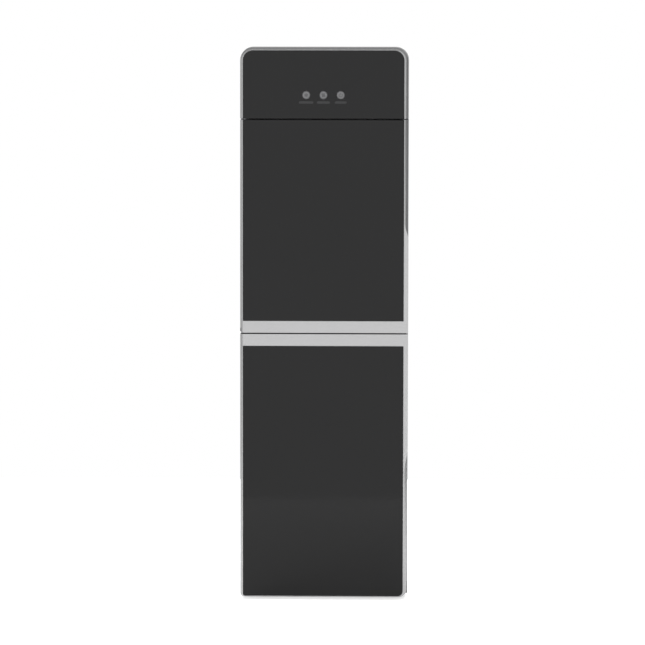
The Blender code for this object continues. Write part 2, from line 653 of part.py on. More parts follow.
def head():
    """The fixed control head: rim, glass, three indicators and the board behind them."""
    radius = HEAD_CORNER_RADIUS
    outline = rounded((LEFT, HEAD_BOTTOM), (FRONT_RIGHT, HEAD_TOP), (0, 0, radius, radius), 8)
    frame = front_block(outline, lambda a, b: not (at(a.z, HEAD_BOTTOM) and at(b.z, HEAD_BOTTOM)))

    def pane_outline(gap):
        corner = HEAD_GLASS_CORNER_RADIUS + gap
        below = HEAD_BOTTOM - (0.01 if gap else 0)
        return rounded((GLASS_LEFT - gap, below),
                       (GLASS_RIGHT + gap, HEAD_TOP - GLASS_TOP_BORDER + gap),
                       (0, 0, corner, corner), 6)

    recess, pane = glass_pane(pane_outline)
    hollow = box((LEFT + HINGE_STILE, WEB_Y, HEAD_BOTTOM + FRAME_WALL),
                 (FRONT_RIGHT - HINGE_STILE, DOOR_BACK_Y + 0.01, HEAD_TOP - 0.008))
    pin = cylinder((PIVOT_X, PIVOT_Y, HEAD_BOTTOM - 0.01), (PIVOT_X, PIVOT_Y, HEAD_BOTTOM + PIN_DEPTH),
                   PIN_RADIUS + GAP, sides=16)
    places = [INDICATOR_X + INDICATOR_PITCH * i for i in (-1, 0, 1)]
    windows = [cylinder((x, FRONT_Y, INDICATOR_Z), (x, WEB_Y + 0.01, INDICATOR_Z), INDICATOR_RADIUS * 0.7)
               for x in places]
    bores = [cylinder((x, FRONT_Y - 0.01, INDICATOR_Z), (x, WEB_Y + 0.01, INDICATOR_Z),
                      INDICATOR_RADIUS + GAP) for x in places]
    boolean(frame, [recess, hollow, pin, *windows])
    boolean(pane, bores)
    register(frame, "head_frame", SILVER)
    register(pane, "head_glass", BLACK_GLASS)
    for x, name in zip(places, ("cooling", "heating", "power")):
        lens = cylinder((x, FRONT_Y + GLASS_THICKNESS, INDICATOR_Z), (x, FRONT_Y, INDICATOR_Z),
                        INDICATOR_RADIUS)
        register(lens, f"indicator_{name}", LENS)
    board = box((INDICATOR_X - 0.055, WEB_Y + GAP, INDICATOR_Z - 0.022),
                (INDICATOR_X + 0.055, WEB_Y + GAP + 0.0016, INDICATOR_Z + 0.022))
    chip = box((INDICATOR_X - 0.014, WEB_Y + 0.001, INDICATOR_Z - 0.018),
               (INDICATOR_X + 0.014, WEB_Y + 0.008, INDICATOR_Z - 0.006))
    socket = box((INDICATOR_X + 0.030, WEB_Y + 0.001, INDICATOR_Z - 0.010),
                 (INDICATOR_X + 0.042, WEB_Y + 0.010, INDICATOR_Z + 0.010))
    register(boolean(board, [chip, socket], "UNION"), "indicator_board", BOARD)


# ================================================================ hinges and catches
def hinge_plate(name, plate_bottom, pins):
    """A flat leaf that runs back into the cabinet, with the door pins standing on it."""
    top = plate_bottom + HINGE_PLATE
    leaf = box((PIVOT_X - HINGE_HALF_WIDTH, PIVOT_Y, plate_bottom),
               (PIVOT_X + HINGE_HALF_WIDTH, CABINET_FRONT_Y + HINGE_PLATE_DEPTH, top))
    eye = cylinder((PIVOT_X, PIVOT_Y, plate_bottom), (PIVOT_X, PIVOT_Y, top), HINGE_HALF_WIDTH)
    bars = [cylinder((PIVOT_X, PIVOT_Y, low), (PIVOT_X, PIVOT_Y, high), PIN_RADIUS, sides=16)
            for low, high in pins]
    return register(boolean(leaf, [eye, *bars], "UNION"), name, ZINC)


def hinges():
    below = FOOT_HEIGHT - GAP - HINGE_PLATE
    bore_end = LOWER_DOOR_BOTTOM + HINGE_NOTCH_HEIGHT + PIN_DEPTH
    hinge_plate("hinge_bottom", below, [(below + 0.001, bore_end - 0.001)])
    middle = UPPER_DOOR_BOTTOM
    hinge_plate("hinge_middle", middle, [
        (LOWER_DOOR_TOP - PIN_DEPTH + 0.001, middle + 0.001),
        (middle + 0.001, UPPER_DOOR_BOTTOM + HINGE_NOTCH_HEIGHT + PIN_DEPTH - 0.001),
    ])
    pin = cylinder((PIVOT_X, PIVOT_Y, UPPER_DOOR_TOP - PIN_DEPTH + 0.001),
                   (PIVOT_X, PIVOT_Y, HEAD_BOTTOM + PIN_DEPTH - GAP), PIN_RADIUS, sides=16)
    register(pin, "hinge_top_pin", ZINC)
    catches = {"upper_catch": UPPER_DOOR_TOP - CATCH_DROP[0], "lower_catch": LOWER_DOOR_TOP - CATCH_DROP[1]}
    for name, z in catches.items():
        x = FLANGE_X - 0.008
        block = box((x - 0.005, DOOR_BACK_Y + GAP, z - 0.020), (x + 0.005, CABINET_FRONT_Y - GAP, z + 0.020))
        register(block, name, RUBBER)


# ================================================================ cabinet
def cabinet():
    base = box((LEFT, CABINET_FRONT_Y, FOOT_HEIGHT), (RIGHT, REAR_Y, BASE_TOP))
    hollow = box((LEFT + MOULDING_WALL, CABINET_FRONT_Y + MOULDING_WALL, FOOT_HEIGHT + MOULDING_WALL),
                 (RIGHT - MOULDING_WALL, REAR_Y - MOULDING_WALL, BASE_TOP + 0.01))
    register(boolean(base, [hollow]), "base_pan", DARK_PLASTIC)
    for end, y in (("front", CABINET_FRONT_Y + 0.050), ("rear", REAR_Y - 0.030)):
        for side, sign in SIDES.items():
            foot = cylinder((sign * (RIGHT - 0.030), y, 0), (sign * (RIGHT - 0.030), y, FOOT_HEIGHT - GAP),
                            0.015, 0.017)
            register(foot, f"foot_{end}_{side}", RUBBER)

    low, high = BASE_TOP + GAP, HEAD_BOTTOM - GAP
    for side, sign in SIDES.items():
        outer, inner = sign * RIGHT, sign * (RIGHT - SHEET)
        lip = sign * (RIGHT - SIDE_FLANGE)
        outline = [
            (outer, CABINET_FRONT_Y), (outer, REAR_Y), (lip, REAR_Y), (lip, REAR_Y - SHEET),
            (inner, REAR_Y - SHEET), (inner, CABINET_FRONT_Y + SHEET),
            (lip, CABINET_FRONT_Y + SHEET), (lip, CABINET_FRONT_Y),
        ]
        panel = extruded(outline, low, high, "XY")
        if sign < 0:
            slot = box((PIVOT_X - HINGE_HALF_WIDTH - GAP, CABINET_FRONT_Y - 0.01, UPPER_DOOR_BOTTOM - GAP),
                       (lip + 0.01, CABINET_FRONT_Y + 0.01, UPPER_DOOR_BOTTOM + HINGE_PLATE + GAP))
            boolean(panel, [slot])
        register(panel, f"side_panel_{side}", SHEET_SILVER)

    inside = RIGHT - SHEET - GAP
    width, height = SWITCH_HALF_SIZE
    back = box((-inside, CABINET_BACK_Y - SHEET, BACK_PANEL_BOTTOM), (inside, CABINET_BACK_Y, high))
    openings = [
        box((SWITCH_X - width - GAP, CABINET_BACK_Y - 0.01, SWITCH_Z - height - GAP),
            (SWITCH_X + width + GAP, CABINET_BACK_Y + 0.01, SWITCH_Z + height + GAP)),
        *(cylinder((x, CABINET_BACK_Y - 0.01, z), (x, CABINET_BACK_Y + 0.01, z), PANEL_BORE, sides=16)
          for x, z in ((0, DRAIN_Z), (GLAND_X, GLAND_Z), (-CONDENSER_HALF_WIDTH + 0.012, GLAND_Z))),
    ]
    first = SWITCH_Z - LOUVRE_PITCH * 1.25
    slots = [box((x - 0.018, CABINET_BACK_Y - 0.01, z - 0.0015), (x + 0.018, CABINET_BACK_Y + 0.01, z + 0.0015))
             for x in LOUVRE_X for z in (first + LOUVRE_PITCH * i for i in range(LOUVRES))]
    # pressed ribs that the condenser's wires are clipped to
    reach = CONDENSER_Y + CONDENSER_TUBE - CONDENSER_WIRE * 0.7 - GAP
    half = CONDENSER_HALF_WIDTH - 0.012
    ribs = [box((-half, CABINET_BACK_Y - 0.0005, z - 0.006), (half, reach, z + 0.006))
            for z in (CONDENSER_BOTTOM + CONDENSER_PITCH * (run + 0.5) for run in (0, CONDENSER_RUNS - 2))]
    boolean(back, ribs, "UNION")
    register(boolean(back, [*openings, *slots]), "back_panel", SHEET_SILVER)

    radius = HEAD_CORNER_RADIUS
    shell_front = DOOR_BACK_Y + GAP
    cover = extruded(rounded((LEFT, HEAD_BOTTOM), (RIGHT, HEIGHT), (0, 0, radius, radius), 8),
                     shell_front, REAR_Y)
    wall = MOULDING_WALL
    hollow = extruded(rounded((LEFT + wall, HEAD_BOTTOM - 0.01), (RIGHT - wall, HEIGHT - wall),
                              (0, 0, radius - wall, radius - wall), 8),
                      shell_front + wall, REAR_Y - wall)
    seat = turned([
        (COLLAR_RADIUS + 0.006, HEIGHT - 0.0005),
        (COLLAR_RADIUS + 0.006, HEIGHT - COLLAR_SINK - wall),
        (COLLAR_RADIUS - COLLAR_RIM - 0.002, HEIGHT - COLLAR_SINK - wall),
        (COLLAR_RADIUS - COLLAR_RIM - 0.002, HEIGHT - 0.0005),
    ], (0, TANK_Y, 0), steps=28)
    rebate = cylinder((0, TANK_Y, HEIGHT - COLLAR_SINK), (0, TANK_Y, HEIGHT + 0.01), COLLAR_RADIUS + GAP, sides=28)
    mouth = cylinder((0, TANK_Y, HEIGHT - 0.02), (0, TANK_Y, HEIGHT + 0.01), COLLAR_RADIUS - COLLAR_RIM, sides=28)
    wiring = box((INDICATOR_X - 0.05, shell_front - 0.01, INDICATOR_Z - 0.02),
                 (INDICATOR_X + 0.05, shell_front + wall + 0.01, INDICATOR_Z + 0.02))
    boolean(cover, [hollow, wiring])
    boolean(cover, [seat], "UNION")
    register(boolean(cover, [rebate, mouth]), "top_cover", SILVER)


def liners():
    wall = LINER_WALL
    front, flange = CABINET_FRONT_Y, CABINET_FRONT_Y + LINER_WALL
    seat = box((-FLANGE_X, front, UPPER_DOOR_BOTTOM + HINGE_PLATE + GAP), (FLANGE_X, flange, HEAD_BOTTOM - GAP))
    shell = box((-NICHE_HALF_WIDTH - wall, front + 0.001, NICHE_FLOOR - wall),
                (NICHE_HALF_WIDTH + wall, NICHE_BACK_Y + wall, NICHE_TOP + wall))
    hollow = box((-NICHE_HALF_WIDTH, front - 0.01, NICHE_FLOOR),
                 (NICHE_HALF_WIDTH, NICHE_BACK_Y, NICHE_TOP))
    bores = [cylinder((x, NICHE_BACK_Y - 0.01, TAP_Z), (x, NICHE_BACK_Y + 0.01, TAP_Z), TAP_BORE, sides=20)
             for x in (-TAP_X, TAP_X)]
    boolean(seat, [shell], "UNION")
    register(boolean(seat, [hollow, *bores]), "dispensing_recess", GREY_PLASTIC)

    back = front + CAVITY_DEPTH
    seat = box((-FLANGE_X, front, BASE_TOP + GAP), (FLANGE_X, flange, UPPER_DOOR_BOTTOM - GAP))

    def profile(grow, forward):
        return [
            (forward, CAVITY_FLOOR - grow), (HUMP_FRONT_Y + grow, CAVITY_FLOOR - grow),
            (HUMP_FRONT_Y + grow, HUMP_HEIGHT - grow), (back + grow, HUMP_HEIGHT - grow),
            (back + grow, CAVITY_TOP + grow), (forward, CAVITY_TOP + grow),
        ]

    half = CAVITY_HALF_WIDTH
    shell = extruded(profile(wall, front + 0.001), -half - wall, half + wall, "YZ")
    hollow = extruded(profile(0, front - 0.01), -half, half, "YZ")
    boolean(seat, [shell], "UNION")
    register(boolean(seat, [hollow]), "storage_liner", LINER_WHITE)
    shelf = extruded(rounded((-half + GAP, front + 0.020), (half - GAP, back - GAP), (0.008, 0.008, 0, 0), 3),
                     SHELF_Z, SHELF_Z + SHELF_THICKNESS, "XY")
    rail = box((-half + 0.004, front + 0.0205, SHELF_Z + 0.001), (half - 0.009, front + 0.0245, SHELF_Z + 0.010))
    holes = [box((x - 0.004, front + 0.060, SHELF_Z - 0.01), (x + 0.004, back - 0.040, SHELF_Z + 0.01))
             for x in (SHELF_SLOT_PITCH * (i - (SHELF_SLOTS - 1) / 2) for i in range(SHELF_SLOTS))]
    boolean(shelf, [rail], "UNION")
    register(boolean(shelf, holes), "storage_shelf", GREY_PLASTIC)

    depth_end = CABINET_BACK_Y - SHEET - 0.044
    edge = RIGHT - SHEET - GAP
    outline = [
        (-edge, BRACKET_Z - BRACKET_FLANGE), (-edge, BRACKET_Z),
        (edge, BRACKET_Z), (edge, BRACKET_Z - BRACKET_FLANGE),
        (edge - SHEET, BRACKET_Z - BRACKET_FLANGE), (edge - SHEET, BRACKET_Z - SHEET),
        (-edge + SHEET, BRACKET_Z - SHEET), (-edge + SHEET, BRACKET_Z - BRACKET_FLANGE),
    ]
    register(extruded(outline, NICHE_BACK_Y + wall + 0.001, depth_end, "XZ"), "tank_bracket", ZINC)


# ================================================================ taps and drip tray
def tap(name, x, finish):
    """A tap through the recess's back wall: barrel, tail, spout and the lever's post, one moulding."""
    front = NICHE_BACK_Y - GAP
    spout_y = NICHE_BACK_Y - TAP_REACH + TAP_BARREL
    tail_end = NICHE_BACK_Y + LINER_WALL + 0.014
    spigot_y = tail_end - HOSE_RADIUS
    body = cylinder((x, front, TAP_Z), (x, spout_y, TAP_Z), TAP_BARREL, TAP_BARREL * 0.92)
    pieces = [
        cylinder((x, front - 0.003, TAP_Z), (x, tail_end, TAP_Z), TAP_BORE - GAP, sides=20),
        cylinder((x, spout_y, TAP_Z - SPOUT_DROP), (x, spout_y, TAP_Z + TAP_BARREL), SPOUT_RADIUS,
                 TAP_BARREL * 0.92),
        cylinder((x, spigot_y, TAP_Z - 0.022), (x, spigot_y, TAP_Z), HOSE_RADIUS - 0.001, sides=16),
        box((x - 0.004, LEVER_PIVOT_Y - 0.005, TAP_Z), (x + 0.004, LEVER_PIVOT_Y + 0.005, LEVER_PIVOT_Z + LEVER_POST)),
    ]
    bore = cylinder((x, spout_y, TAP_Z - SPOUT_DROP - 0.01), (x, spout_y, TAP_Z - 0.004), SPOUT_BORE, sides=16)
    pin = cylinder((x - 0.02, LEVER_PIVOT_Y, LEVER_PIVOT_Z), (x + 0.02, LEVER_PIVOT_Y, LEVER_PIVOT_Z),
                   0.0023, sides=16)
    boolean(body, pieces, "UNION")
    register(boolean(body, [bore, pin]), f"{name}_tap", DARK_PLASTIC)

    half = LEVER_WIDTH / 2
    low = LEVER_PIVOT_Z + 0.0045
    paddle = extruded(rounded((x - half, LEVER_PIVOT_Y + 0.006 - LEVER_LENGTH), (x + half, LEVER_PIVOT_Y + 0.006),
                              (half * 0.7, half * 0.7, 0.002, 0.002), 5), low, low + LEVER_THICKNESS, "XY")
    cheeks = [box((x + sign * 0.0060 - 0.0015, LEVER_PIVOT_Y - 0.005, LEVER_PIVOT_Z - 0.0035),
                  (x + sign * 0.0060 + 0.0015, LEVER_PIVOT_Y + 0.005, low + 0.001)) for sign in (-1, 1)]
    axle = cylinder((x - 0.0065, LEVER_PIVOT_Y, LEVER_PIVOT_Z), (x + 0.0065, LEVER_PIVOT_Y, LEVER_PIVOT_Z),
                    0.0020, sides=16)
    boolean(paddle, [*cheeks, axle], "UNION")
    pieces = []
    if name == "hot":
        slot_y = LEVER_PIVOT_Y - 0.034
        slot = box((x - 0.0045, slot_y - 0.009, low + LEVER_THICKNESS - 0.002),
                   (x + 0.0045, slot_y + 0.009, low + LEVER_THICKNESS + 0.01))
        boolean(paddle, [slot])
        slider = box((x - 0.0042, slot_y - 0.0085, low + LEVER_THICKNESS - 0.002 + GAP),
                     (x + 0.0042, slot_y + 0.0035, low + LEVER_THICKNESS + 0.0035))
        lock = register(slider, "child_lock_slider", RED)
        pieces.append(lock)
    lever = register(paddle, f"{name}_lever", finish)
    carry(pivot(f"{name}_lever_axis", (x, LEVER_PIVOT_Y, LEVER_PIVOT_Z)), lever, *pieces)


def drip_tray():
    width, depth, height = TRAY_SIZE
    low = NICHE_FLOOR + GAP
    y0, y1 = TRAY_Y, TRAY_Y + depth
    tray = extruded(rounded((-width / 2, y0), (width / 2, y1), (0.012, 0.012, 0.003, 0.003), 4),
                    low, low + height, "XY")
    wall = TRAY_WALL
    hollow = extruded(rounded((-width / 2 + wall, y0 + wall), (width / 2 - wall, y1 - wall),
                              (0.010, 0.010, 0.002, 0.002), 4), low + wall, low + height + 0.01, "XY")
    ledge = box((-width / 2 + wall / 2, y1 - 0.006, low + 0.001),
                (width / 2 - wall / 2, y1 - 0.001, low + height - GRILLE_THICKNESS - GAP))
    front_ledge = box((-width / 2 + 0.012, y0 + 0.001, low + 0.001),
                      (width / 2 - 0.012, y0 + 0.006, low + height - GRILLE_THICKNESS - GAP))
    boolean(tray, [hollow])
    boolean(tray, [ledge, front_ledge], "UNION")
    register(tray, "drip_tray", DARK_PLASTIC)

    top = low + height
    inset = wall + GAP
    grille = extruded(rounded((-width / 2 + inset, y0 + inset), (width / 2 - inset, y1 - inset),
                              (0.0097, 0.0097, 0.0017, 0.0017), 4), top - GRILLE_THICKNESS, top, "XY")
    pitch = (width - 0.030) / GRILLE_SLOTS
    slots = [box((pitch * (i - (GRILLE_SLOTS - 1) / 2) - 0.0035, y0 + 0.012, top - 0.01),
                 (pitch * (i - (GRILLE_SLOTS - 1) / 2) + 0.0035, y1 - 0.012, top + 0.01))
             for i in range(GRILLE_SLOTS)]
    register(boolean(grille, slots), "drip_grille", STAINLESS)


# ================================================================ tanks
def radial_bore(z, radius, reach=0.12, angle=90.0):
    direction = Vector((math.cos(math.radians(angle)), math.sin(math.radians(angle)), 0))
    centre = Vector((0, TANK_Y, z))
    return cylinder(centre + direction * 0.040, centre + direction * reach, radius, sides=16)


def evaporator():
    """The cooling coil round the cold tank: its two ends leave through the jacket at the back."""
    steps = 16
    radius = COLD_RADIUS / math.cos(math.pi / steps) + COIL_TUBE + 3 * GAP
    points = []
    reach = JACKET_OUTER + 0.004
    points.append(Vector((0.0, TANK_Y + reach, COIL_LOW)))
    points.append(Vector((0.0, TANK_Y + radius, COIL_LOW)))
    count = COIL_TURNS * steps
    for i in range(1, count):
        angle = math.radians(90 + 360 * i / steps)
        points.append(Vector((radius * math.cos(angle), TANK_Y + radius * math.sin(angle),
                              COIL_LOW + COIL_PITCH * i / steps)))
    points.append(Vector((0.0, TANK_Y + radius, COIL_EXIT_TOP)))
    points.append(Vector((0.0, TANK_Y + reach, COIL_EXIT_TOP)))
    return applied(tube(points, COIL_TUBE, 0))


def tanks():
    # the funnel that holds a bottle upside down, with the probe that opens its cap
    rim_top = HEIGHT
    under = HEIGHT - COLLAR_SINK + GAP
    wall = COLLAR_WALL
    neck = COLLAR_NECK
    seat = HEIGHT - WELL_DEPTH
    inner_lip = COLLAR_RADIUS - COLLAR_RIM - GAP
    profile = [
        (PROBE_RADIUS * 0.35, seat + 0.040), (PROBE_RADIUS, seat + 0.028), (PROBE_RADIUS, seat - 0.006),
        (neck - wall, seat - 0.006), (neck - wall, seat), (neck + 0.006, seat + 0.010),
        (inner_lip - wall - 0.012, rim_top - 0.016),
        (inner_lip - wall, rim_top), (COLLAR_RADIUS - 0.002, rim_top),
        (COLLAR_RADIUS, rim_top - 0.002), (COLLAR_RADIUS, under), (inner_lip, under),
        (inner_lip - 0.010, rim_top - 0.020), (neck + 0.006 + wall, seat + 0.005),
        (neck, seat - 0.004), (neck, COLLAR_BOTTOM),
        (neck - wall, COLLAR_BOTTOM), (neck - wall, seat - 0.006 - wall),
        (PROBE_RADIUS * 0.5, seat - 0.006 - wall), (PROBE_RADIUS * 0.5, seat + 0.026),
        (PROBE_RADIUS * 0.35 - 0.001, seat + 0.034),
    ]
    collar = turned(profile, (0, TANK_Y, 0), steps=28)
    ports = [cylinder((0, TANK_Y, seat + 0.004), (math.cos(a) * 0.014, TANK_Y + math.sin(a) * 0.014, seat + 0.004),
                      0.0028, sides=8) for a in (math.pi / 4, 3 * math.pi / 4, 5 * math.pi / 4, 7 * math.pi / 4)]
    flow = cylinder((0, TANK_Y, COLLAR_BOTTOM - 0.01), (0, TANK_Y, seat), PROBE_RADIUS * 0.4, sides=12)
    register(boolean(collar, [*ports, flow]), "bottle_collar", PROBE)

    sheet = TANK_SHEET
    profile = [
        (TANK_MOUTH, COLD_TOP), (TANK_MOUTH + 0.004, COLD_TOP), (TANK_MOUTH + 0.004, COLD_TOP - 0.004),
        (COLD_RADIUS - 0.006, COLD_TOP - 0.010), (COLD_RADIUS, COLD_TOP - 0.018),
        (COLD_RADIUS, COLD_BOTTOM + 0.008), (COLD_RADIUS - 0.008, COLD_BOTTOM), (0, COLD_BOTTOM),
        (0, COLD_BOTTOM + sheet), (COLD_RADIUS - 0.0086, COLD_BOTTOM + sheet),
        (COLD_RADIUS - sheet, COLD_BOTTOM + 0.0086), (COLD_RADIUS - sheet, COLD_TOP - 0.0186),
        (COLD_RADIUS - 0.0068, COLD_TOP - 0.010 - sheet), (TANK_MOUTH, COLD_TOP - 0.006),
    ]
    cold = turned(profile, (0, TANK_Y, 0), steps=20)
    register(cold, "cold_tank", STAINLESS)

    outer, inner = JACKET_OUTER, JACKET_OUTER - JACKET_WALL
    jacket_top = COLD_TOP - 0.020
    profile = [
        (inner, jacket_top), (outer - 0.004, jacket_top), (outer, jacket_top - 0.004),
        (outer, JACKET_BOTTOM + 0.004), (outer - 0.004, JACKET_BOTTOM), (0, JACKET_BOTTOM),
        (0, COLD_BOTTOM - GAP), (inner, COLD_BOTTOM - GAP),
    ]
    jacket = turned(profile, (0, TANK_Y, 0), steps=20)
    bores = [
        radial_bore(COIL_LOW, COIL_TUBE + 0.0006), radial_bore(COIL_EXIT_TOP, COIL_TUBE + 0.0006),
        radial_bore(COLD_BOTTOM + 0.012, HOSE_RADIUS + 0.0006, 0.12, 0),
        cylinder((0, TANK_Y, JACKET_BOTTOM - 0.01), (0, TANK_Y, COLD_BOTTOM), HOSE_RADIUS + 0.0006, sides=16),
    ]
    register(boolean(jacket, bores), "cold_tank_jacket", FOAM)
    register(evaporator(), "evaporator_coil", COPPER)

    radius = HOT_RADIUS
    profile = [
        (0.007, HOT_TOP), (radius - 0.006, HOT_TOP), (radius, HOT_TOP - 0.006), (radius, HOT_BOTTOM + 0.006),
        (radius - 0.006, HOT_BOTTOM), (0.007, HOT_BOTTOM), (0.007, HOT_BOTTOM + sheet),
        (radius - 0.0066, HOT_BOTTOM + sheet), (radius - sheet, HOT_BOTTOM + 0.0066),
        (radius - sheet, HOT_TOP - 0.0066), (radius - 0.0066, HOT_TOP - sheet), (0.007, HOT_TOP - sheet),
    ]
    hot = turned(profile, (0, TANK_Y, 0), steps=20)
    drain = cylinder((0, TANK_Y + radius - 0.01, HOT_DRAIN), (0, TANK_Y + radius + 0.01, HOT_DRAIN), 0.0045, sides=16)
    register(boolean(hot, [drain]), "hot_tank", STAINLESS)
    heater_points = [Vector((0.0, TANK_Y, HOT_BOTTOM - 0.010)), Vector((0.0, TANK_Y, HOT_BOTTOM + 0.020))]
    for i in range(0, 25):
        angle = 2 * math.pi * i / 10
        ring = 0.028 * min(1.0, i / 5)
        heater_points.append(Vector((ring * math.sin(angle), TANK_Y - ring * math.cos(angle),
                                     HOT_BOTTOM + 0.026 + 0.0018 * i)))
    plug = cylinder((0, TANK_Y, HOT_BOTTOM - 0.006), (0, TANK_Y, HOT_BOTTOM + 0.010), 0.0067, sides=16)
    flange = cylinder((0, TANK_Y, HOT_BOTTOM - 0.004), (0, TANK_Y, HOT_BOTTOM - GAP), 0.014, sides=24)
    rod = applied(tube(heater_points, 0.0032, 0))
    register(boolean(rod, [plug, flange], "UNION"), "heating_element", BLACK_STEEL)

    outer, wall = HOT_JACKET_OUTER, HOT_JACKET_OUTER - HOT_RADIUS - GAP
    low, high = BRACKET_Z + GAP, JACKET_BOTTOM - GAP
    profile = [
        (0.010, high), (outer, high), (outer, low), (0, low), (0, HOT_BOTTOM - 0.012),
        (0.018, HOT_BOTTOM - 0.012), (0.018, HOT_BOTTOM - 0.0005), (HOT_RADIUS + GAP, HOT_BOTTOM - 0.0005),
        (HOT_RADIUS + GAP, HOT_TOP + GAP), (0.010, HOT_TOP + GAP),
    ]
    jacket = turned(profile, (0, TANK_Y, 0), steps=20)
    drain = cylinder((0, TANK_Y + HOT_RADIUS - 0.005, HOT_DRAIN), (0, TANK_Y + outer + 0.01, HOT_DRAIN),
                     HOSE_RADIUS + 0.0006, sides=16)
    outlet_z = HOT_TOP - 0.014
    outlet = cylinder((-0.020, TANK_Y, outlet_z), (-outer - 0.02, TANK_Y, outlet_z), HOSE_RADIUS + 0.0006, sides=16)
    register(boolean(jacket, [drain, outlet]), "hot_tank_jacket", FOAM)


def hoses():
    spigot_y = NICHE_BACK_Y + LINER_WALL + 0.014 - HOSE_RADIUS
    spigot_end = TAP_Z - 0.022 - GAP
    # each hose leaves its tank through the jacket's side and ends on the tail of its tap
    hot_z = HOT_TOP - 0.014
    edge = HOT_RADIUS + GAP
    routes = {
        "hot_water_hose": [
            (-edge, TANK_Y, hot_z), (-HOT_JACKET_OUTER - 0.001, TANK_Y, hot_z),
            (-HOT_JACKET_OUTER - 0.012, TANK_Y, hot_z),
            (-0.092, TANK_Y - 0.022, hot_z + 0.004), (-0.080, TANK_Y - 0.068, hot_z + 0.018),
            (-TAP_X - 0.002, spigot_y + 0.002, hot_z + 0.050), (-TAP_X, spigot_y + 0.001, hot_z + 0.062),
            (-TAP_X, spigot_y, spigot_end - 0.022),
            (-TAP_X, spigot_y, spigot_end - 0.010), (-TAP_X, spigot_y, spigot_end),
        ],
        "cold_water_hose": [
            (COLD_RADIUS + GAP, TANK_Y, COLD_BOTTOM + 0.012), (JACKET_OUTER + 0.001, TANK_Y, COLD_BOTTOM + 0.012),
            (JACKET_OUTER + 0.010, TANK_Y, COLD_BOTTOM + 0.012),
            (0.120, TANK_Y - 0.030, COLD_BOTTOM - 0.008), (0.100, TANK_Y - 0.076, COLD_BOTTOM - 0.010),
            (TAP_X + 0.004, spigot_y + 0.003, COLD_BOTTOM + 0.008), (TAP_X, spigot_y, spigot_end - 0.022),
            (TAP_X, spigot_y, spigot_end - 0.010), (TAP_X, spigot_y, spigot_end),
        ],
        "drain_hose": [
            (0, TANK_Y + edge, HOT_DRAIN), (0, TANK_Y + HOT_JACKET_OUTER + 0.0005, HOT_DRAIN),
            (0, TANK_Y + HOT_JACKET_OUTER + 0.005, HOT_DRAIN),
            (0, CABINET_BACK_Y - 0.026, HOT_DRAIN - 0.020), (0, CABINET_BACK_Y - 0.026, DRAIN_Z + 0.148),
            (0, CABINET_BACK_Y - 0.026, DRAIN_Z + 0.040), (0, CABINET_BACK_Y - 0.025, DRAIN_Z + 0.012),
            (0, CABINET_BACK_Y - 0.016, DRAIN_Z), (0, CABINET_BACK_Y - 0.007, DRAIN_Z),
            (0, CABINET_BACK_Y + 0.010, DRAIN_Z),
        ],
    }
    for name, places in routes.items():
        points = smooth_route([Vector(place) for place in places], 0.025)
        register(applied(tube(points, HOSE_RADIUS, 1)), name, SILICONE, 50)


